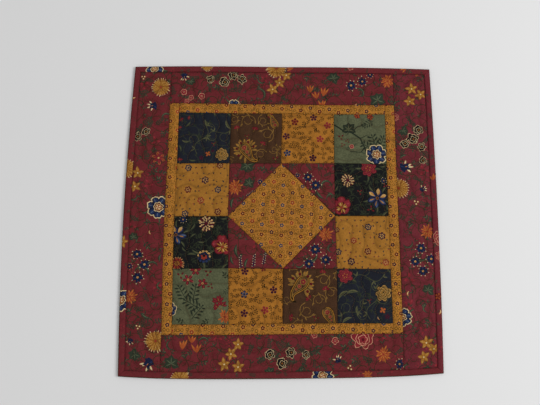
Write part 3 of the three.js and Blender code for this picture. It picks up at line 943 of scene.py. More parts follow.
# Where the flowers lie on each piece. Columns: x and y on the pattern, size, and any turn in degrees.
SPOTS = {
    "outer_border_left": {
        "ivy": [(-241, -36, 9, 20)],
        "hook_leaf": [(-210, -86, 11, 10), (-226, -96, 14, -20)],
        "berries": [(-242, 238, 4.5, 10), (-229, -182, 4.5)],
        "crescent": [(-214, -28, 5.5, 20)],
        "mum": [(-211, 221, 16.5), (-202, -203, 17)],
        "bell": [(-221, 188, 10, 100), (-240, -203, 6.5, 160), (-211, -236, 11.5, 150)],
        "black_rose": [(-231, 143, 7.5), (-245, 134, 8, 50)],
        "lily": [(-208, 97, 11, 10)],
        "star": [(-240, 71, 10), (-243, 48, 10, 20)],
        "wide_rose": [(-204, 14, 19)],
        "aster": [(-234, -65, 8.5), (-222, -82, 9, 30), (-232, -103, 9, 60), (-245, -85, 5)],
        "spider": [(-243, -134, 12)],
    },
    "outer_border_right": {
        "ivy": [(237, -124, 11, -20)],
        "hook_leaf": [(207, -46, 10, 200), (228, -66, 13, 160)],
        "berries": [(224, 22, 5)],
        "crescent": [(206, -130, 6, -10)],
        "tulip": [(237, 250, 7, 200)],
        "star": [
            (225, 222, 10), (240, 212, 10, 25), (221, 200, 10, 10), (231, -209, 11),
            (243, -219, 10, 30), (226, -231, 10.5, 15),
        ],
        "full_rose": [(195, 172, 7)],
        "black_rose": [
            (233, 149, 9), (223, 133, 10.5, 40), (209, 124, 8.5, 100), (237, 118, 8, 150),
            (238, 95, 7, 10),
        ],
        "bell": [(207, 83, 12, -70), (235, 45, 7, -50)],
        "mum": [(196, 47, 18)],
        "spider": [(240, -27, 12, 10)],
        "aster": [(228, -55, 9), (218, -77, 9, 20), (244, -73, 9, 40), (230, -93, 9, 60)],
        "wide_rose": [(193, -168, 16)],
    },
    "outer_border_far": {
        "ivy": [(90, 240, 12, -30), (165, 203, 15, 10)],
        "hook_leaf": [(-40, 210, 13, -60), (133, 214, 11, -60)],
        "crescent": [(126, 196, 5.5, 110)],
        "bell": [(-171, 241, 8, 190)],
        "pink": [(-171, 213, 5.8), (-158, 203, 4.8, 20), (-165, 197, 4.3, 40), (-140, 206, 5.8, 10)],
        "black_rose": [(-125, 235, 7.5), (-101, 231, 9.5, 40), (-86, 243, 9, 80), (-70, 236, 9, 120)],
        "wide_rose": [(-84, 188, 13)],
        "mum": [(-9, 256, 18)],
        "star": [(-4, 231, 10), (-16, 219, 10, 20), (8, 244, 10, 10)],
        "tulip": [(49, 221, 8.5), (59, 210, 8, 10), (73, 216, 9.5, -15), (69, 196, 9)],
        "aster": [(120, 227, 9), (140, 234, 8, 30), (154, 246, 6)],
        "spider": [(184, 235, 12)],
    },
    "outer_border_near": {
        "ivy": [(-176, -235, 13)],
        "hook_leaf": [(-127, -205, 10)],
        "berries": [(107, -243, 5, 170)],
        "tulip": [(-159, -208, 9.5, -5), (-137, -213, 9), (-146, -199, 8.5)],
        "star": [(-72, -208, 10), (-83, -222, 10, 25), (-93, -237, 10.5, 10), (-71, -241, 10)],
        "black_rose": [(-21, -223, 8.5), (-2, -236, 9.5, 40), (13, -221, 8.5, 80), (37, -224, 7)],
        "pink": [(51, -195, 5.3), (84, -204, 5.8, 20)],
        "bell": [(88, -233, 7, 10)],
        "full_rose": [(129, -200, 18)],
        "spider": [(161, -225, 12.5)],
        "aster": [(187, -240, 8)],
    },
    "binding_far": {
        "wide_rose": [(-224, 254, 16)],
        "mum": [(-132, 261, 12), (-9, 256, 18)],
        "tulip": [(15, 256, 7, 90), (212, 257, 7, 70)],
        "pink": [(120, 258, 5.3)],
    },
    "binding_near": {
        "mum": [(-161, -259, 16)],
        "wide_rose": [(63, -255, 18)],
        "spider": [(135, -255, 8)],
    },
    "binding_left": {
        "crescent": [(-257, 204, 6, 90)],
        "mum": [(-260, 78, 18)],
        "star": [(-258, -45, 10, 10)],
        "wide_rose": [(-257, -140, 18)],
    },
    "binding_right": {
        "crescent": [(253, -160, 6, 20)],
        "full_rose": [(259, -38, 13), (260, -68, 9)],
        "tulip": [(253, 66, 7)],
        "blossom": [(253, -135, 7)],
    },
    "centre_triangle_far_left": {
        "ivy": [(-58, 84, 14, 170)],
        "slender_leaf": [(-84, 22, 11, -10)],
        "beads": [(-52, 38, 7, -50)],
        "spider": [(-78, 48, 13.5)],
        "aster": [(-36, 57, 5)],
    },
    "centre_triangle_far_right": {
        "slender_leaf": [(62, 34, 11, 40)],
        "hook_leaf": [(75, 50, 11, 30), (82, 29, 9, 20)],
        "aster": [(45, 65, 8.5), (57, 51, 9, 30), (27, 68, 4)],
    },
    "centre_triangle_near_left": {
        "slender_leaf": [(-77, -60, 13, 5), (-84, -76, 9, 15), (-61, -80, 10, -15)],
        "beads": [(-69, -77, 10, 5), (-47, -75, 10, -5), (-30, -72, 9, -10)],
    },
    "centre_triangle_near_right": {
        "hook_leaf": [(46, -66, 14, 200), (82, -55, 9, 90), (27, -80, 9, 190)],
        "spider": [(72, -32, 12.5)],
        "aster": [(54, -57, 9.5), (71, -74, 9, 25), (43, -81, 9, 50)],
    },
    "square_row1_1_navy": {
        "moss_vine": [(-138, 130, 26, 75), (-108, 143, 24, 210)],
        "moss_leaf": [(-130, 158, 9, 40), (-95, 156, 10, 30), (-165, 126, 7, 80)],
        "red_buds": [(-117, 122, 4)],
        "plum_bloom": [(-137, 98, 4.5), (-118, 110, 3)],
        "orange_flower": [(-126, 105, 4.5, 45)],
        "peony": [(-102, 104, 12.5, 20)],
        "fan_flower": [(-173, 165, 4.5, 40), (-160, 168, 4, 80), (-175, 151, 4, 10), (-173, 95, 5)],
    },
    "square_row4_4_navy": {
        "moss_vine": [(140, -104, 26, 10), (146, -146, 26, 80), (112, -160, 24, 40)],
        "moss_leaf": [(97, -130, 11, -50), (113, -126, 11, -80), (120, -158, 9, 10), (103, -171, 10, -60)],
        "red_buds": [(141, -142, 4)],
        "crescent": [(156, -169, 4, 30)],
        "red_peony": [(102, -101, 13)],
        "peony": [(164, -129, 14.5)],
        "orange_flower": [(162, -157, 5, 20)],
        "plum_bloom": [(169, -167, 5)],
    },
    "square_row1_2_brown": {
        "scroll": [(-26, 138, 15, 20), (-58, 162, 15, 80), (-32, 166, 12, 200), (-34, 104, 12, 120)],
        "red_buds": [(-10, 96, 6), (-60, 136, 4.5)],
        "fan_flower": [(-78, 152, 6, 20), (-47, 150, 6.5, -20), (-20, 174, 6.5, 60), (-32, 124, 6, -30)],
        "bare_paisley": [(-13, 160, 15, -150)],
        "paisley": [(-62, 112, 22, 40)],
    },
    "square_row4_3_brown": {
        "scroll": [(66, -110, 14, 20), (40, -156, 15, 200), (60, -142, 13, 80), (80, -130, 13, 100)],
        "red_buds": [(54, -170, 5, 90)],
        "fan_flower": [(70, -122, 7, 10), (42, -137, 6.5, 50), (14, -168, 6.5, 80), (66, -94, 6)],
        "paisley": [(30, -114, 24, -35)],
        "bare_paisley": [(74, -164, 20, 35)],
    },
    "square_row1_3_gold": {
        "maroon_bloom": [(22, 163, 6.5)],
        "plum_bloom": [(54, 171, 6.5, 10), (8, 137, 6.5, 30), (53, 98, 6.5)],
        "red_bloom": [(78, 157, 6.5, 20), (65, 132, 6.5)],
        "navy_bloom": [(10, 107, 6.5, 15)],
    },
    "square_row4_2_gold": {
        "plum_bloom": [(-62, -94, 6.5), (-15, -124, 6.5, 10), (-63, -161, 6.5)],
        "maroon_bloom": [(-32, -89, 5, 20)],
        "navy_bloom": [(-63, -131, 6.5)],
        "red_bloom": [(-29, -156, 6.5, 30)],
    },
    "square_row2_1_tan": {
        "navy_flower": [(-158, 81, 6), (-107, 44, 6, 30), (-160, 4, 6, 10)],
        "maroon_flower": [(-105, 85, 6, 10), (-157, 44, 6), (-106, 7, 6)],
        "plum_flower": [(-129, 60, 6.5, 20)],
        "rust_flower": [(-135, 26, 6)],
    },
    "square_row3_4_tan": {
        "navy_flower": [(143, -19, 6), (92, -61, 6)],
        "plum_flower": [(165, -34, 6.5, 10), (113, -77, 6.5, 30)],
        "rust_flower": [(118, -42, 5.5, 20), (170, -78, 6)],
        "maroon_flower": [(141, -60, 6), (91, -24, 5)],
    },
    "square_row1_4_green": {
        "branch": [(134, 134, 50)],
        "dark_ivy": [(114, 151, 13)],
        "dark_fern": [(158, 127, 15, 20), (148, 118, 15, 60), (170, 126, 14, -20), (148, 160, 11, 120)],
        "red_buds": [(101, 136, 5), (104, 122, 4, 80), (112, 129, 4, 30)],
        "blossom": [(129, 175, 6), (152, 173, 6.5, 30)],
        "pink": [(119, 119, 4.3)],
        "wide_rose": [(161, 105, 18.5)],
    },
    "square_row4_1_green": {
        "dark_fern": [
            (-162, -128, 14, 30), (-143, -128, 15, -10), (-147, -146, 15, 60), (-138, -158, 14, -40),
        ],
        "dark_sprig": [(-94, -100, 8, 40), (-165, -172, 8, 70), (-126, -174, 8, 120)],
        "red_buds": [(-165, -100, 6), (-121, -96, 6, 100), (-117, -118, 5, 30)],
        "red_star": [(-141, -92, 9), (-153, -107, 9, 25), (-130, -113, 9, 50)],
        "fan_flower": [(-105, -139, 10, 20), (-108, -150, 8, 60), (-98, -146, 8, -20)],
        "spider": [(-94, -166, 11)],
        "wide_rose": [(-182, -154, 12)],
    },
    "square_row2_4_black": {
        "red_buds": [(131, 40, 5), (149, 11, 6, 40)],
        "red_peony": [(146, 80, 14)],
        "striped_bloom": [(111, 60, 12, 10)],
        "bowl_flower": [(100, 17, 16)],
        "two_tone": [(160, 30, 17)],
        "aster": [(172, 60, 5)],
    },
    "square_row3_1_black": {
        "aster": [(-163, -6, 6)],
        "striped_bloom": [(-125, -13, 14, -10)],
        "two_tone": [(-174, -32, 17, 30)],
        "bowl_flower": [(-98, -50, 17)],
        "round_bloom": [(-128, -69, 11)],
        "half_mum": [(-171, -80, 12)],
    },
}


# What grows beside each flower. Columns: motif, how many, how far out in the flower's own size, size.
COMPANIONS = {
    "aster": ("buds", 1, 1.6, 4),
    "bell": ("sprig", 2, 1.5, 5),
    "berries": ("fern", 3, 2.3, 8),
    "black_rose": ("fern", 3, 1.8, 8),
    "bowl_flower": ("dark_sprig", 4, 1.15, 8),
    "lily": ("sprig", 3, 1.4, 6),
    "pink": ("sprig", 2, 1.6, 4.5),
    "red_peony": ("dark_leaf", 4, 1.15, 8),
    "round_bloom": ("dark_leaf", 3, 1.4, 9),
    "spider": ("arch", 1, 1.6, 8),
    "star": ("buds", 2, 1.5, 4),
    "striped_bloom": ("dark_sprig", 4, 1.3, 9),
    "tulip": ("sprig", 2, 1.5, 6.5),
    "two_tone": ("dark_leaf", 5, 1.1, 8),
    "wide_rose": ("slender_leaf", 5, 1.15, 7),
}


def spots_on(name):
    return [Spot(motif, *row) for motif, rows in SPOTS.get(name, {}).items() for row in rows]


def draw_spots(patches, spots):
    """Draws the placed motifs, with all that grows beside them underneath."""
    pens = [Pen(patches, spot.x, spot.y, spot.size, spot.turn) for spot in spots]
    for spot, pen in zip(spots, pens):
        if spot.motif in COMPANIONS:
            companion, count, reach, size = COMPANIONS[spot.motif]
            for angle in ring_of(count, 360 * pen.sway(50)):
                MOTIFS[companion](pen.beside(angle, reach, size))
    for spot, pen in zip(spots, pens):
        MOTIFS[spot.motif](pen)


def strewn(box, pitch, chance, stray=0.3):
    """Places over a box, about a pitch apart, each strayed by a share of the pitch."""
    left, near, right, far = box
    for row in range(int((far - near) / pitch) + 2):
        for column in range(int((right - left) / pitch) + 2):
            x = left + (column + row % 2 / 2 + chance.uniform(-stray, stray)) * pitch
            yield x, near + (row + chance.uniform(-stray, stray)) * pitch


# How near a strewn motif may come to a placed one, as a share of its own size.
STREWN_CLEARANCE = 0.8


def scatter(patches, box, filling, seed, spots=()):
    """Fills the ground between the placed motifs with small ones. A motif is a name or a way to draw."""
    chance = random.Random(seed)
    keep_clear = spots if filling.clear else ()
    for x, y in strewn(box, filling.pitch, chance):
        motif = chance.choice(filling.motifs)
        size = chance.uniform(*filling.sizes)
        turn = chance.uniform(0, 360)
        reaches = [math.hypot(x - s.x, y - s.y) - s.size for s in keep_clear]
        if min(reaches, default=size) >= size * STREWN_CLEARANCE:
            MOTIFS.get(motif, motif)(Pen(patches, x, y, size, turn))


# The calico: its flowers' pitch both ways, how far each row is lifted, their size, and the net of rings.
CALICO_ACROSS = 16.2
CALICO_APART = 17
CALICO_LIFT = 5
CALICO_FLOWER = 3.8
CALICO_MARGIN = 4
CALICO_DYES = (("maroon", "slate"), ("plum", "brick"))
CALICO_TILT = -3.3
CALICO_TILT_LENGTHWAYS = 92
NET_PITCH = 7
NET_STRAY = 0.22
NET_RINGS = (1.9, 2.7)
NET_SEED = 4


def calico_net(patches, box):
    """The calico's ground: small dark rings, like leaves laid end to end."""
    chance = random.Random(NET_SEED)
    for x, y in strewn(box, NET_PITCH, chance, NET_STRAY):
        pen = Pen(patches, x, y, chance.uniform(*NET_RINGS), chance.uniform(0, 360))
        pen.disc("calico_net", 0, 0, 1, 7)
        pen.disc("calico", 0.04, 0, 0.66, 7)
        pen.line("calico_net", [(0.9, 0.1), (1.35, 0.5)], 0.3)


def calico_flowers(patches, box, turn):
    """The calico's small flowers, whose rows are tilted a little on the cloth."""
    left, near, right, far = box
    steps = int(math.hypot(right - left, far - near) / 2 / CALICO_ACROSS) + 2
    rows = Pen(patches, (left + right) / 2, (near + far) / 2, 1, turn)
    for i in range(-steps, steps + 1):
        for j in range(-steps, steps + 1):
            x, y = rows.place(i * CALICO_ACROSS, j * CALICO_APART + i % 2 * CALICO_LIFT)
            if min(x - left, right - x, y - near, far - y) > -CALICO_MARGIN:
                pen = Pen(patches, x, y, CALICO_FLOWER, 31 * i + 17 * j)
                pen.disc("calico", 0, 0, 1.3)
                for angle in ring_of(5, 12):
                    pen.disc(CALICO_DYES[i % 2][j % 2], *on_ring(0.6, angle), 0.38, 6)
                pen.disc("straw", 0, 0, 0.26, 6)


def rectangle(left, near, right, far):
    return [(left, near), (right, near), (right, far), (left, far)]


def outline_box(outline):
    xs = [p[0] for p in outline]
    ys = [p[1] for p in outline]
    return min(xs), min(ys), max(xs), max(ys)


SEED_BUDS = [partial(seed_bud, dye=dye) for dye in ("maroon", "plum", "ink", "red", "brick")]
WINE_FILLING = ("sprig", "fern", "arch", "sprig", "fern", "buds")

# How the ground of each cloth is filled. Columns: pitch, motifs, their sizes, clear of the flowers.
Filling = namedtuple("Filling", "pitch motifs sizes clear")
FILLINGS = {
    "wine": (
        Filling(33, ("vine",), (20, 27), False),
        Filling(26, ("curl",), (8, 13), False),
        Filling(46, ("hook_leaf", "slender_leaf", "ivy"), (8, 11), True),
        Filling(21, WINE_FILLING, (6.5, 9.5), True),
    ),
    "navy": (
        Filling(30, ("dark_vine",), (16, 22), False),
        Filling(22, ("dark_leaf",), (6, 9), True),
    ),
    "brown": (Filling(20, ("scroll",), (8, 12), True),),
    "black": (
        Filling(26, ("dark_vine",), (15, 20), False),
        Filling(14, ("dark_sprig", "dark_leaf"), (6, 9), True),
    ),
    "green": (
        Filling(8.5, ("tonal_curl",), (2.6, 3.8), False),
        Filling(19, ("dark_fern", "dark_sprig"), (5, 8), True),
    ),
    "gold": (Filling(9.2, (twig,), (3.4, 4.4), True),),
    "tan": (Filling(10, SEED_BUDS, (1.9, 2.7), True),),
}
BINDING_FILLING = Filling(19, WINE_FILLING + ("curl",), (3, 6), False)
BINDING_SEED = 40


def printed(name, cloth, outline):
    """The patches of dye on one piece, given what cloth it is cut from."""
    patches = []
    box = outline_box(outline)
    spots = spots_on(name)
    for n, filling in enumerate(FILLINGS.get(cloth, ())):
        scatter(patches, box, filling, 3 * n + len(name), spots)
    if cloth == "calico":
        lengthways = box[3] - box[1] > 2 * (box[2] - box[0])
        calico_net(patches, box)
        calico_flowers(patches, box, CALICO_TILT_LENGTHWAYS if lengthways else CALICO_TILT)
    draw_spots(patches, spots)
    return patches


# Cutting and sewing.

HONEYCOMB_ROW = 0.87
CLOTH_UNIT = 0.1

# Rows of points beside a seam, and how far the other points keep from the seam and from the quilting.
SEAM_ROWS = (0.5, 1.4)
CLEAR_OF_SEAM = 2
CLEAR_OF_ROWS = 2.4
CLEAR_OF_QUILTING = 2.2


def srgb_to_linear(value):
    return value / 12.92 if value <= 0.04045 else ((value + 0.055) / 1.055) ** 2.4


def dye_colour(name, ground=False):
    """The dye's colour. Alpha marks the bare ground, where the cloth's own tonal figure shows."""
    code = DYES[name]
    channels = [srgb_to_linear(int(code[n : n + 2], 16) / 255) for n in (0, 2, 4)]
    return (*channels, 1.0 if ground else 0.0)


def densified(outline, step):
    points = []
    for n, a in enumerate(outline):
        b = outline[(n + 1) % len(outline)]
        count = max(1, round(math.hypot(b[0] - a[0], b[1] - a[1]) / step))
        points += [(mix(a[0], b[0], k / count), mix(a[1], b[1], k / count)) for k in range(count)]
    return points


def grid_points(box, step, keep):
    """A honeycomb of points over a box, less those that keep() refuses."""
    points = []
    rows = int((box[3] - box[1]) / (step * HONEYCOMB_ROW)) + 1
    columns = int((box[2] - box[0]) / step) + 2
    for row in range(rows):
        for column in range(columns):
            x = box[0] + (column + row % 2 / 2) * step
            y = box[1] + row * step * HONEYCOMB_ROW
            if keep(x, y):
                points.append((x, y))
    return points


def is_inside(x, y, outline):
    """Whether a point lies inside any outline, convex or not."""
    crossings = 0
    before_x, before_y = outline[-1]
    for next_x, next_y in outline:
        if (before_y > y) != (next_y > y):
            share = (y - before_y) / (next_y - before_y)
            crossings += x < before_x + (next_x - before_x) * share
        before_x, before_y = next_x, next_y
    return crossings % 2 == 1


def cut(outline, patches, loose, ground):
    """Triangulates a piece of cloth with its patches of dye let in. Gives points, triangles and dyes."""
    box = outline_box(outline)
    dyes = [dye_colour(ground, True)]
    shapes = [outline]
    points = [Vector(p) for p in outline]
    faces = [list(range(len(points)))]
    for dye, patch in patches:
        low_x, low_y, high_x, high_y = outline_box(patch)
        if high_x < box[0] or low_x > box[2] or high_y < box[1] or low_y > box[3]:
            continue
        faces.append(list(range(len(points), len(points) + len(patch))))
        points += [Vector(p) for p in patch]
        dyes.append(dye_colour(dye))
        shapes.append(patch)
    points += [Vector(p) for p in loose]
    made = geometry.delaunay_2d_cdt(points, [], faces, 0, 1e-3, True)
    kept = []
    colours = []
    for triangle, sources in zip(made[2], made[5]):
        if 0 in sources:
            middle = sum((made[0][v] for v in triangle), Vector((0, 0))) / 3
            on_top = sorted(sources)
            while on_top[-1] and not is_inside(middle.x, middle.y, shapes[on_top[-1]]):
                on_top.pop()
            kept.append(tuple(triangle))
            colours.append(dyes[on_top[-1]])
    used = sorted({v for triangle in kept for v in triangle})
    renumbered = {old: new for new, old in enumerate(used)}
    kept = [tuple(renumbered[v] for v in triangle) for triangle in kept]
    return [tuple(made[0][v]) for v in used], kept, colours


def rim_edges(triangles):
    """The edges that only one triangle has, in the direction in which it has them."""
    edges = {(t[n], t[(n + 1) % 3]) for t in triangles for n in range(3)}
    return [(a, b) for a, b in edges if (b, a) not in edges]


def in_scene(name, data):
    made = bpy.data.objects.new(name, data)
    bpy.context.scene.collection.objects.link(made)
    return made


def mesh_object(name, places, faces, smooth_count, material):
    """A mesh whose first faces, so many of them, are shaded smooth."""
    mesh = bpy.data.meshes.new(name)
    mesh.from_pydata(places, [], faces)
    mesh.polygons.foreach_set("use_smooth", [n < smooth_count for n in range(len(faces))])
    mesh.materials.append(material)
    return in_scene(name, mesh)


def make_piece(name, places, triangles, flat, colours, ditch_shade_mask, smooth_count, material):
    """A closed mesh with its dyes, its cloth coordinates and how much painted shade each point takes."""
    piece = mesh_object(name, places, triangles, smooth_count, material)
    dye = piece.data.color_attributes.new("dye", "FLOAT_COLOR", "CORNER")
    dye.data.foreach_set("color", [c for colour in colours for _ in range(3) for c in colour])
    # The painted shade of each point, by which the material darkens the colour.
    shade_amount = piece.data.attributes.new("ditch_shade_mask", "FLOAT", "POINT")
    shade_amount.data.foreach_set("value", ditch_shade_mask)
    cloth = piece.data.uv_layers.new(name="Cloth")
    cloth.data.foreach_set("uv", [c * CLOTH_UNIT for t in triangles for v in t for c in flat[v][:2]])
    return piece


def closed_over(name, points, triangles, colours, relief, far_side, upward, material):
    """Lays a cut piece with its relief and closes it with a flat far side."""
    flat = list(points)
    places = []
    ditch_shade_mask = []
    for x, y in points:
        height, shade_amount = relief(x, y)
        places.append(lie(x, y, height))
        ditch_shade_mask.append(shade_amount)
    smooth_count = len(triangles)
    rim = rim_edges(triangles)
    twins = {}
    # The far side and its walls take full painted shade.
    for a, _ in rim:
        twins[a] = len(places)
        places.append(lie(*flat[a], far_side))
        flat.append(flat[a])
        ditch_shade_mask.append(1.0)
    middle = len(places)
    middle_x = sum(flat[a][0] for a, _ in rim) / len(rim)
    middle_y = sum(flat[a][1] for a, _ in rim) / len(rim)
    places.append(lie(middle_x, middle_y, far_side))
    flat.append((middle_x, middle_y))
    ditch_shade_mask.append(1.0)
    triangles = list(triangles)
    for a, b in rim:
        triangles += [(b, a, twins[a]), (b, twins[a], twins[b]), (twins[b], twins[a], middle)]
    colours = colours + [colours[0]] * (3 * len(rim))
    if not upward:
        triangles = [t[::-1] for t in triangles]
    return make_piece(name, places, triangles, flat, colours, ditch_shade_mask, smooth_count, material)


def inset_outline(outline, inset):
    """Moves each side of a convex anticlockwise outline inwards."""
    sides = []
    for n, (ax, ay) in enumerate(outline):
        bx, by = outline[(n + 1) % len(outline)]
        length = math.hypot(bx - ax, by - ay)
        along = ((bx - ax) / length, (by - ay) / length)
        sides.append(((ax - along[1] * inset, ay + along[0] * inset), along))
    corners = []
    for n, ((cx, cy), along) in enumerate(sides):
        (px, py), before = sides[n - 1]
        cross = before[0] * along[1] - before[1] * along[0]
        share = ((cx - px) * along[1] - (cy - py) * along[0]) / cross
        corners.append((px + before[0] * share, py + before[1] * share))
    return corners


def face_piece(node, cloth, outline, ground, material):
    """One patch, strip or triangle of the face."""
    loose = []
    for inset in SEAM_ROWS:
        loose += densified(inset_outline(outline, inset), EDGE_STEP)
    for point, along in QUILTING:
        for side in (-STITCH_DITCH, 0, STITCH_DITCH):
            x = point.x - along.y * side
            y = point.y + along.x * side
            if distance_inside(x, y, outline) > CLEAR_OF_SEAM:
                loose.append((x, y))

    def keep(x, y):
        if distance_inside(x, y, outline) <= CLEAR_OF_ROWS:
            return False
        return distance_to_quilting(x, y) > CLEAR_OF_QUILTING

    loose += grid_points(outline_box(outline), RELIEF_STEP, keep)
    patches = printed(node, cloth, outline)
    points, triangles, colours = cut(densified(outline, EDGE_STEP), patches, loose, ground)
    relief = partial(face_relief, outline=outline)
    name = "print_" + node
    return closed_over(name, points, triangles, colours, relief, FACE_UNDERSIDE, True, material)


def back_piece(material):
    """The back and batting as one slab, with its quilted underside down."""
    reach = TOPPER_HALF - LAYERS_INSET
    outline = rectangle(-reach, -reach, reach, reach)
    inner = reach - CLEAR_OF_SEAM
    loose = grid_points(outline_box(outline), BACK_STEP, lambda x, y: max(abs(x), abs(y)) < inner)
    for inset in (LAYERS_CLEAR_OF_BINDING, LAYERS_AT_FULL_DEPTH):
        loose += densified(inset_outline(outline, inset - LAYERS_INSET), BACK_STEP)
    points, triangles, colours = cut(densified(outline, BACK_STEP), [], loose, "muslin")
    return closed_over("back", points, triangles, colours, back_relief, BACK_TOP, False, material)


# The binding's outer face, from the lower leg's inner edge round the wall to the upper leg's inner edge.
# Columns: how far in from the topper's edge, and how high.
BINDING_PROFILE = [
    (BINDING_FACE, 0),
    (0.9, 0),
    (0.3, 0.25),
    (0.05, 0.8),
    (0, 1.6),
    (0, 2.9),
    (0.3, 3.6),
    (1, 4.1),
    (2.2, 4.4),
    (4, 4.5),
    (7, 4.35),
    (9.2, 3.9),
    (BINDING_FACE, 3.45),
]
BINDING_CLOTH = 0.6

# The band of painted shade on the binding's outer wall at the fold, across the binding's cloth.
FOLD_SHADE = (11, 13.9)

# Where the binding's upper leg begins, and the waves along it. Columns: how long, and how high.
UPPER_LEG = 2
LEG_RISE = (0.5, 4)
SHORT_WAVE = (9, 0.22)
LONG_WAVE = (31, 0.25)

# How much painted shade darkens the binding along its seam and its edge, and how far from the seam that
# reaches.
BINDING_SHADE = 0.4
BINDING_SEAM = 1.2
SIDES = ("near", "right", "far", "left")


def profile_lengths():
    lengths = [0]
    for a, b in zip(BINDING_PROFILE, BINDING_PROFILE[1:]):
        lengths.append(lengths[-1] + math.hypot(b[0] - a[0], b[1] - a[1]))
    return lengths


PROFILE_LENGTHS = profile_lengths()


def on_profile(across):
    """The inset, the height and the inward direction at a distance across the binding's cloth."""
    across = min(max(across, 0), PROFILE_LENGTHS[-1])
    n = 0
    while n < len(PROFILE_LENGTHS) - 2 and across > PROFILE_LENGTHS[n + 1]:
        n += 1
    share = (across - PROFILE_LENGTHS[n]) / (PROFILE_LENGTHS[n + 1] - PROFILE_LENGTHS[n])
    (ax, az), (bx, bz) = BINDING_PROFILE[n], BINDING_PROFILE[n + 1]
    length = math.hypot(bx - ax, bz - az)
    inward = (-(az - bz) / length, -(bx - ax) / length)
    return mix(ax, bx, share), mix(az, bz, share), inward


def rim_place(side, along, inset, height):
    """A point near one side. Along runs anticlockwise, from -1 to 1 times the reach."""
    reach = TOPPER_HALF - inset
    x, y = ((along, -reach), (reach, along), (-along, reach), (-reach, -along))[side]
    return lie(x, y, height)


def on_binding(side, spot):
    """A motif that was placed on the pattern, moved to the binding's own cloth."""
    along = (spot.x, spot.y, -spot.x, -spot.y)[side]
    inset = TOPPER_HALF - (-spot.y, spot.x, spot.y, -spot.x)[side]
    quarter = (0, -90, 180, 90)[side]
    across = PROFILE_LENGTHS[-1] - (BINDING_FACE - inset)
    return spot._replace(x=along, y=-across, turn=spot.turn + quarter)


def cut_binding(side, ground):
    """One strip of binding as flat cloth with mitred ends, from the lower leg's edge at y = 0."""
    ends = [(TOPPER_HALF - on_profile(s)[0] - SEAM_GAP, -s) for s in PROFILE_LENGTHS]
    outline = ends[::-1] + [(-x, s) for x, s in ends]
    loose = []
    for n in range(1, int(PROFILE_LENGTHS[-1] / FOLD_STEP)):
        across = n * FOLD_STEP
        reach = TOPPER_HALF - on_profile(across)[0] - CLEAR_OF_SEAM
        count = int(2 * reach / BINDING_STEP)
        loose += [(mix(-reach, reach, k / count), -across) for k in range(count + 1)]
    patches = []
    box = outline_box(outline)
    scatter(patches, box, BINDING_FILLING, BINDING_SEED + side)
    draw_spots(patches, [on_binding(side, spot) for spot in spots_on("binding_" + SIDES[side])])
    edge = box[2] + 1
    # Painted shade over the binding's outer wall.
    patches.append(("painted_fold_shade", rectangle(-edge, -FOLD_SHADE[1], edge, -FOLD_SHADE[0])))
    return cut(densified(outline, EDGE_STEP), patches, loose, ground)


def leg_wave(side, along, inset, height):
    """How far the binding's upper leg rises or dips at a place along the edge."""
    wave = noise.noise((along / SHORT_WAVE[0], side * 7, height)) * SHORT_WAVE[1]
    wave += noise.noise((along / LONG_WAVE[0], side, 2)) * LONG_WAVE[1]
    return wave * smooth_step(*LEG_RISE, inset) * (height > UPPER_LEG)


def binding_piece(side, ground, material):
    """One strip of binding, folded round the edge, with a thickness of cloth all the way."""
    points, triangles, colours = cut_binding(side, ground)
    outer = []
    inner = []
    ditch_shade_mask = []
    for along, minus_across in points:
        inset, height, inward = on_profile(-minus_across)
        wave = leg_wave(side, along, inset, height)
        outer.append(rim_place(side, along, inset, height + wave))
        inner_inset = inset + inward[0] * BINDING_CLOTH
        reach = TOPPER_HALF - inner_inset - SEAM_GAP
        held = min(max(along, -reach), reach)
        inner_height = height + inward[1] * BINDING_CLOTH + min(wave, 0)
        inner.append(rim_place(side, held, inner_inset, max(inner_height, BINDING_CLOTH / 2)))
        # Painted shade along the binding's seam and at its outer edge.
        near_seam = smooth_step(BINDING_FACE - BINDING_SEAM, BINDING_FACE, inset)
        ditch_shade_mask.append(BINDING_SHADE * max(near_seam, 1 - smooth_step(0, 1, inset)))
    count = len(points)
    inside = [(c + count, b + count, a + count) for a, b, c in triangles]
    wall = []
    for a, b in rim_edges(triangles):
        wall += [(b, a, a + count), (b, a + count, b + count)]
    return make_piece(
        "fold_" + SIDES[side],
        outer + inner,
        triangles + inside + wall,
        list(points) * 2,
        colours * 2 + [colours[0]] * len(wall),
        ditch_shade_mask * 2,
        2 * len(triangles),
        material,
    )


STITCH_PITCH = 3
STITCH_LENGTH = 2.5
STITCH_RADIUS = 0.17
STITCH_SHOULDER = 0.55
STITCH_SIDES = 4


def stitches(name, relief, lift, material):
    """The quilting thread as one joined mesh, with a stitch at each step along the meander."""
    places = []
    triangles = []
    for point, along in even_points(meander_line(), STITCH_PITCH):
        height = relief(point.x, point.y)[0] + lift
        side = Vector((-along.y, along.x))
        first = len(places)
        half = STITCH_LENGTH / 2
        places.append(lie(point.x - along.x * half, point.y - along.y * half, height))
        for reach in (-half * STITCH_SHOULDER, half * STITCH_SHOULDER):
            for n in range(STITCH_SIDES):
                angle = 2 * math.pi * n / STITCH_SIDES
                out = side * (STITCH_RADIUS * math.cos(angle)) + along * reach
                up = STITCH_RADIUS * math.sin(angle)
                places.append(lie(point.x + out.x, point.y + out.y, height + up))
        places.append(lie(point.x + along.x * half, point.y + along.y * half, height))
        last = len(places) - 1
        for n in range(STITCH_SIDES):
            a = first + 1 + n
            b = first + 1 + (n + 1) % STITCH_SIDES
            c = a + STITCH_SIDES
            d = b + STITCH_SIDES
            triangles += [(first, b, a), (a, b, d), (a, d, c), (c, d, last)]
    return mesh_object(name, places, triangles, len(triangles), material)


# Materials. Each group is one effect that several cloths share, with its own values in each.


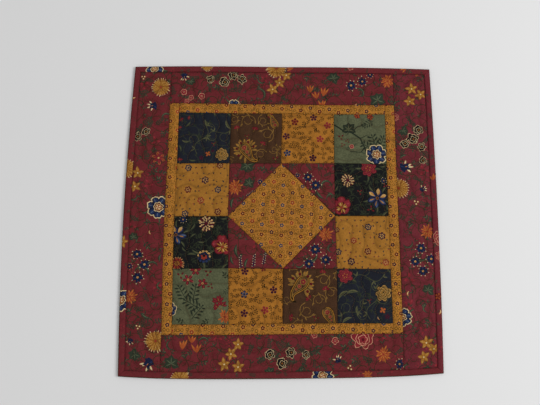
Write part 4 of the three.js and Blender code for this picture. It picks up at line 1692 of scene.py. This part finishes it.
def new_group(name, inputs, outputs):
    group = bpy.data.node_groups.new(name, "ShaderNodeTree")
    for socket, kind, value in inputs:
        made = group.interface.new_socket(socket, in_out="INPUT", socket_type="NodeSocket" + kind)
        made.default_value = value
    for socket, kind in outputs:
        group.interface.new_socket(socket, in_out="OUTPUT", socket_type="NodeSocket" + kind)
    return group, group.nodes.new("NodeGroupInput"), group.nodes.new("NodeGroupOutput")


def feed(tree, node, sockets):
    """Gives each named or numbered input of a node a value or a link."""
    for key, value in sockets.items():
        if isinstance(value, bpy.types.NodeSocket):
            tree.links.new(value, node.inputs[key])
        else:
            node.inputs[key].default_value = value
    return node


def wired(tree, kind, sockets=None, **settings):
    """Adds a node, sets its properties and feeds its inputs."""
    node = tree.nodes.new("ShaderNode" + kind)
    for key, value in settings.items():
        setattr(node, key, value)
    return feed(tree, node, sockets or {})


def math_node(tree, operation, a, b=0.5, c=0.5):
    return wired(tree, "Math", {0: a, 1: b, 2: c}, operation=operation).outputs[0]


def blended(tree, blend, factor, a, b):
    node = wired(tree, "Mix", {0: factor, 6: a, 7: b}, data_type="RGBA", blend_type=blend)
    return node.outputs[2]


def cloth_place(tree):
    """The place on the flat cloth, in centimetres."""
    return wired(tree, "UVMap", uv_map="Cloth").outputs[0]


def noise_on(tree, place, scale, detail):
    return wired(tree, "TexNoise", {"Vector": place, "Scale": scale, "Detail": detail}).outputs[0]


def ranged(tree, value, low, high, to_low, to_high):
    return wired(tree, "MapRange", {0: value, 1: low, 2: high, 3: to_low, 4: to_high}).outputs[0]


THREADS_PER_CM = 27.0
SLUB_SCALE = (27, 1.4, 1)


def plain_weave_group():
    """Over and under threads, with thick and thin ones among them."""
    inputs = (("Threads per cm", "Float", THREADS_PER_CM), ("Slubs", "Float", 0.4))
    group, given, out = new_group("Plain weave", inputs, (("Height", "Float"), ("Thread tone", "Float")))
    cloth = cloth_place(group)
    scaling = {0: cloth, "Scale": given.outputs["Threads per cm"]}
    scaled = wired(group, "VectorMath", scaling, operation="SCALE")
    parts = wired(group, "SeparateXYZ", {0: scaled.outputs[0]})
    warp = math_node(group, "SINE", math_node(group, "MULTIPLY", parts.outputs[0], math.pi))
    weft = math_node(group, "SINE", math_node(group, "MULTIPLY", parts.outputs[1], math.pi))
    crossing = math_node(group, "MULTIPLY", warp, weft)
    slub_place = wired(group, "VectorMath", {0: cloth, 1: SLUB_SCALE}, operation="MULTIPLY")
    slub = noise_on(group, slub_place.outputs[0], 1.0, 1.0)
    slub_amount = math_node(group, "MULTIPLY", slub, given.outputs["Slubs"])
    height = math_node(group, "MULTIPLY_ADD", crossing, 0.5, slub_amount)
    tone = math_node(group, "MULTIPLY_ADD", slub, 0.5, 0.75)
    feed(group, out, {"Height": height, "Thread tone": tone})
    return group


def tonal_figure_group():
    """A tone on tone figure of small rings, printed on the bare ground only."""
    inputs = (
        ("Colour", "Color", (0.5, 0.5, 0.5, 1)),
        ("Ground", "Float", 1.0),
        ("Figure colour", "Color", (0.1, 0.1, 0.1, 1)),
        ("Figures per cm", "Float", 2.0),
        ("Amount", "Float", 0.3),
    )
    group, given, out = new_group("Tonal figure", inputs, (("Colour", "Color"),))
    cloth = cloth_place(group)
    scattered = {"Vector": cloth, "Scale": given.outputs["Figures per cm"], "Randomness": 0.8}
    cells = wired(group, "TexVoronoi", scattered, voronoi_dimensions="2D")
    off_ring = math_node(group, "ABSOLUTE", math_node(group, "SUBTRACT", cells.outputs[0], 0.33))
    ring = ranged(group, off_ring, 0.03, 0.13, 1.0, 0.0)
    fleck = ranged(group, noise_on(group, cloth, 9.0, 2.0), 0.5, 0.62, 0.0, 0.6)
    figure = math_node(group, "MAXIMUM", ring, fleck)
    masked = math_node(group, "MULTIPLY", figure, given.outputs["Ground"])
    factor = math_node(group, "MULTIPLY", masked, given.outputs["Amount"])
    result = blended(group, "MIX", factor, given.outputs["Colour"], given.outputs["Figure colour"])
    feed(group, out, {"Colour": result})
    return group


def uneven_dye_group():
    """Cloudy and grainy dye, which takes better on some threads than on others."""
    inputs = (
        ("Colour", "Color", (0.5, 0.5, 0.5, 1)),
        ("Clouding", "Float", 0.15),
        ("Grain", "Float", 0.3),
        ("Thread tone", "Float", 1.0),
        ("Thread contrast", "Float", 0.25),
    )
    group, given, out = new_group("Uneven dye", inputs, (("Colour", "Color"),))
    cloth = cloth_place(group)
    cloud = ranged(group, noise_on(group, cloth, 0.55, 3.0), 0.3, 0.7, 0.65, 1.35)
    speck = ranged(group, noise_on(group, cloth, 5.5, 2.0), 0.3, 0.7, 0.5, 1.5)
    tone = given.outputs["Thread tone"]
    result = given.outputs["Colour"]
    for factor, strength in (("Clouding", cloud), ("Grain", speck), ("Thread contrast", tone)):
        grey = wired(group, "CombineColor", {0: strength, 1: strength, 2: strength})
        result = blended(group, "MULTIPLY", given.outputs[factor], result, grey.outputs[0])
    feed(group, out, {"Colour": result})
    return group


def ditch_shade_and_rub_group():
    """Painted shade that darkens the ditches and seams, and wear that rubs the puffs a little paler and
    smoother.
    """
    inputs = (
        ("Colour", "Color", (0.5, 0.5, 0.5, 1)),
        ("Ditch shade", "Float", 0.35),
        ("Rub", "Float", 0.3),
        ("Roughness", "Float", 0.9),
    )
    group, given, out = new_group("Painted ditch shade and rub", inputs, (("Colour", "Color"), ("Roughness", "Float")))
    ditch_shade_mask = wired(group, "Attribute", attribute_name="ditch_shade_mask").outputs["Fac"]
    patchy = noise_on(group, cloth_place(group), 1.3, 4.0)
    # Painted shade: the ditches and seams are multiplied towards a dark brown.
    ditch = math_node(group, "MULTIPLY", ditch_shade_mask, given.outputs["Ditch shade"])
    shaded = blended(group, "MULTIPLY", ditch, given.outputs["Colour"], (0.25, 0.22, 0.18, 1))
    puff = math_node(group, "SUBTRACT", 1.0, ditch_shade_mask)
    worn = math_node(group, "MULTIPLY", puff, patchy)
    rubbed = math_node(group, "MULTIPLY", worn, given.outputs["Rub"])
    result = blended(group, "MULTIPLY", rubbed, shaded, (1.45, 1.45, 1.45, 1))
    rough = math_node(group, "MULTIPLY_ADD", rubbed, -0.3, given.outputs["Roughness"])
    feed(group, out, {"Colour": result, "Roughness": rough})
    return group


def creases_group():
    """Fine wrinkles that pressing and washing leave between the stitches."""
    inputs = (("Wrinkles per cm", "Float", 1.6), ("Depth", "Float", 1.0))
    group, given, out = new_group("Creases", inputs, (("Height", "Float"),))
    wrinkling = {
        "Vector": cloth_place(group),
        "Scale": given.outputs["Wrinkles per cm"],
        "Detail": 3.0,
        "Distortion": 0.8,
    }
    wrinkles = wired(group, "TexNoise", wrinkling).outputs[0]
    feed(group, out, {"Height": math_node(group, "MULTIPLY", wrinkles, given.outputs["Depth"])})
    return group


def placed(tree, group, **values):
    """Places a group in a material. A value's name is its socket's, with _ for a space."""
    node = wired(tree, "Group", node_tree=group)
    return feed(tree, node, {key.replace("_", " "): value for key, value in values.items()})


def bump(tree, height, strength, distance, under=None):
    """A bump by height in metres, over another bump if there is one."""
    node = wired(tree, "Bump", {"Strength": strength, "Distance": distance, "Height": height})
    if under is not None:
        feed(tree, node, {"Normal": under})
    return node.outputs[0]


def bare_material(name):
    material = bpy.data.materials.new(name)
    material.use_nodes = True
    return material, material.node_tree, material.node_tree.nodes["Principled BSDF"]


def cotton(groups, name, figure="black", figures_per_cm=2.0, figure_amount=0.0, clouding=0.15):
    """Printed quilting cotton. Its colours are the dyes that the mesh carries."""
    material, tree, shader = bare_material(name)
    dye = wired(tree, "Attribute", attribute_name="dye")
    weave = placed(tree, groups["weave"], Threads_per_cm=THREADS_PER_CM, Slubs=0.4)
    figured = placed(
        tree,
        groups["figure"],
        Colour=dye.outputs["Color"],
        Ground=dye.outputs["Alpha"],
        Figure_colour=dye_colour(figure, True),
        Figures_per_cm=figures_per_cm,
        Amount=figure_amount,
    )
    uneven = placed(
        tree,
        groups["dye"],
        Colour=figured.outputs[0],
        Clouding=clouding,
        Grain=0.3,
        Thread_tone=weave.outputs["Thread tone"],
        Thread_contrast=0.25,
    )
    # Painted shade in the ditches and seams, and wear rubbed on the puffs.
    shaded_and_rubbed = placed(tree, groups["shade_and_rub"], Colour=uneven.outputs[0], Ditch_shade=0.38, Rub=0.35)
    creases = placed(tree, groups["creases"], Wrinkles_per_cm=1.6, Depth=1.0)
    creased = bump(tree, creases.outputs[0], 0.5, 0.0008)
    woven = bump(tree, weave.outputs["Height"], 0.3, 0.00012, creased)
    surface = {
        "Base Color": shaded_and_rubbed.outputs["Colour"],
        "Roughness": shaded_and_rubbed.outputs["Roughness"],
        "Normal": woven,
        "Specular IOR Level": 0.05,
    }
    feed(tree, shader, surface)
    return material


def quilting_thread():
    """Twisted cotton thread, a little darker in its twist."""
    material, tree, shader = bare_material("quilting_thread")
    twist = noise_on(tree, wired(tree, "TexCoord").outputs["Object"], 900.0, 2.0)
    shade = wired(tree, "ValToRGB", {0: twist})
    for element, strength in zip(shade.color_ramp.elements, (0.6, 1.3)):
        element.color = tuple(c * strength for c in dye_colour("thread")[:3]) + (1,)
    relief = bump(tree, twist, 0.4, 0.0001)
    feed(tree, shader, {"Base Color": shade.outputs[0], "Normal": relief, "Roughness": 0.7})
    return material


def table_top():
    material, tree, shader = bare_material("pale_table")
    feed(tree, shader, {"Base Color": (0.8, 0.8, 0.8, 1), "Roughness": 0.95, "Specular IOR Level": 0.1})
    return material


# The scene, in metres. The table lies just below the cloth.

KEY_PLACE = (2.6, -0.1, 2.2)
KEY_SIZE = 1.4
KEY_ENERGY = 62
SKY_STRENGTH = 0.545
TABLE_HALF = 4
TABLE_LEVEL = -0.0002


def make_camera():
    camera = in_scene("camera", bpy.data.cameras.new("camera"))
    camera.data.lens = CAMERA_LENS
    x, y, z = CAMERA_PLACE
    camera.location = ((x - MIDDLE_X) * MM, (y - MIDDLE_Y) * MM, z * MM)
    camera.rotation_euler = [math.radians(turn) for turn in CAMERA_TURN]
    bpy.context.scene.camera = camera


def make_lights():
    world = bpy.data.worlds.new("studio")
    world.use_nodes = True
    sky = world.node_tree.nodes["Background"]
    feed(world.node_tree, sky, {"Color": (1, 1, 1, 1), "Strength": SKY_STRENGTH})
    bpy.context.scene.world = world
    key = in_scene("key", bpy.data.lights.new("key", "AREA"))
    key.data.energy = KEY_ENERGY
    key.data.size = KEY_SIZE
    key.location = KEY_PLACE
    key.rotation_euler = Vector(KEY_PLACE).to_track_quat("Z", "Y").to_euler()
    bpy.context.scene.view_settings.view_transform = "Standard"


def make_table():
    half = TABLE_HALF
    corners = [(x, y, TABLE_LEVEL) for x, y in rectangle(-half, -half, half, half)]
    table = mesh_object("table", corners, [(0, 1, 2, 3)], 0, table_top())
    table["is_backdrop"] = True


# How far the thread's middle is above the cloth on each side.
FACE_THREAD = 0.08
BACK_THREAD = -0.05

SQUARE_ROWS = (
    ("navy", "brown", "gold", "green"),
    ("tan", None, None, "black"),
    ("black", None, None, "tan"),
    ("green", "gold", "brown", "navy"),
)

# Columns: the record's slot, the ground's dye, and how the tonal figure is printed on it.
Cloth = namedtuple("Cloth", "slot ground figure figures_per_cm figure_amount clouding")
CLOTHS = {
    "wine": Cloth("burgundy_print", "wine", "maroon", 1.2, 0.25, 0.25),
    "calico": Cloth("gold_calico", "calico", "moss_dark", 2.1, 0.45, 0.25),
    "gold": Cloth("gold_sprig_print", "gold_ground", "ochre", 1.5, 0.2, 0.3),
    "tan": Cloth("tan_flower_print", "tan", "ochre", 1.1, 0.2, 0.35),
    "navy": Cloth("navy_print", "navy", "black", 1.2, 0.3, 0.2),
    "brown": Cloth("brown_paisley", "brown", "black", 1.6, 0.3, 0.25),
    "green": Cloth("green_print", "green", "moss_dark", 1.1, 0.35, 0.3),
    "black": Cloth("black_print", "black_ground", "black", 1.3, 0.3, 0.2),
}


def border_outlines(inside, outside):
    """The side strips run the full height, and the far and near ones fit between them."""
    return {
        "left": rectangle(-outside, -outside, -inside, outside),
        "right": rectangle(inside, -outside, outside, outside),
        "far": rectangle(-inside, inside, inside, outside),
        "near": rectangle(-inside, -outside, inside, -inside),
    }


def clear_of_seams(outline):
    """Draws a piece back from its seams by half the gap, and from the rim into the binding."""
    tucked = TOPPER_HALF - LAYERS_INSET
    points = inset_outline(outline, SEAM_GAP / 2)
    return [(min(max(x, -tucked), tucked), min(max(y, -tucked), tucked)) for x, y in points]


def face_pattern():
    """Every piece of the face: its node, its cloth and its outline from seam to seam."""
    pattern = []
    for r, row in enumerate(SQUARE_ROWS):
        for c, cloth in enumerate(row):
            if cloth:
                left = c * SQUARE - BLOCK_HALF
                near = BLOCK_HALF - (r + 1) * SQUARE
                name = f"square_row{r + 1}_{c + 1}_{cloth}"
                pattern.append((name, cloth, rectangle(left, near, left + SQUARE, near + SQUARE)))
    s = SQUARE
    pattern.append(("centre_diamond", "calico", [(0, -s), (s, 0), (0, s), (-s, 0)]))
    pattern.append(("centre_triangle_far_left", "wine", [(-s, s), (-s, 0), (0, s)]))
    pattern.append(("centre_triangle_far_right", "wine", [(s, s), (0, s), (s, 0)]))
    pattern.append(("centre_triangle_near_left", "wine", [(-s, -s), (0, -s), (-s, 0)]))
    pattern.append(("centre_triangle_near_right", "wine", [(s, -s), (s, 0), (0, -s)]))
    for side, outline in border_outlines(BLOCK_HALF, INNER_HALF).items():
        pattern.append((f"inner_border_{side}", "calico", outline))
    for side, outline in border_outlines(INNER_HALF, TOPPER_HALF).items():
        pattern.append((f"outer_border_{side}", "wine", outline))
    return pattern


def sew_face(materials):
    for node, cloth, seams in face_pattern():
        outline = clear_of_seams(seams)
        ground = "wine_right" if node == "outer_border_right" else CLOTHS[cloth].ground
        piece = face_piece(node, cloth, outline, ground, materials[cloth])
        if node == "centre_diamond":
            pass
        else:
            left, near, right, far = outline_box(outline)
        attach(piece, "root")
        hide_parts(node)


def sew_back(material):
    back = back_piece(material)
    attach(back, "root")
    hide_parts("quilt_back")
    return back


def sew_binding(material):
    for side, word in enumerate(SIDES):
        ground = "wine_right" if word == "right" else "wine"
        piece = binding_piece(side, ground, material)
        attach(piece, "root")
        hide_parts("binding_" + word)


def sew_quilting(material):
    """The thread stands a little proud of the face, and of the underside."""
    outlines = [clear_of_seams(seams) for _, _, seams in face_pattern()]

    def relief_of_face(x, y):
        """The relief of whichever piece of the face lies at a point."""
        return face_relief(x, y, max(outlines, key=partial(distance_inside, x, y)))

    rows = (("quilting_face", relief_of_face, FACE_THREAD), ("quilting_back", back_relief, BACK_THREAD))
    for name, relief, lift in rows:
        piece = stitches(name, relief, lift, material)
        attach(piece, "root")


def main():
    make_camera()
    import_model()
    cad_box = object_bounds()
    make_lights()
    make_table()
    groups = {
        "weave": plain_weave_group(),
        "figure": tonal_figure_group(),
        "dye": uneven_dye_group(),
        "shade_and_rub": ditch_shade_and_rub_group(),
        "creases": creases_group(),
    }
    materials = {key: cotton(groups, cloth.slot, *cloth[2:]) for key, cloth in CLOTHS.items()}
    back = sew_back(cotton(groups, "back_cloth"))
    sew_face(materials)
    sew_binding(cotton(groups, "binding_print", *CLOTHS["wine"][2:]))
    sew_quilting(quilting_thread())
    return cad_box


CAD_BOX = main()
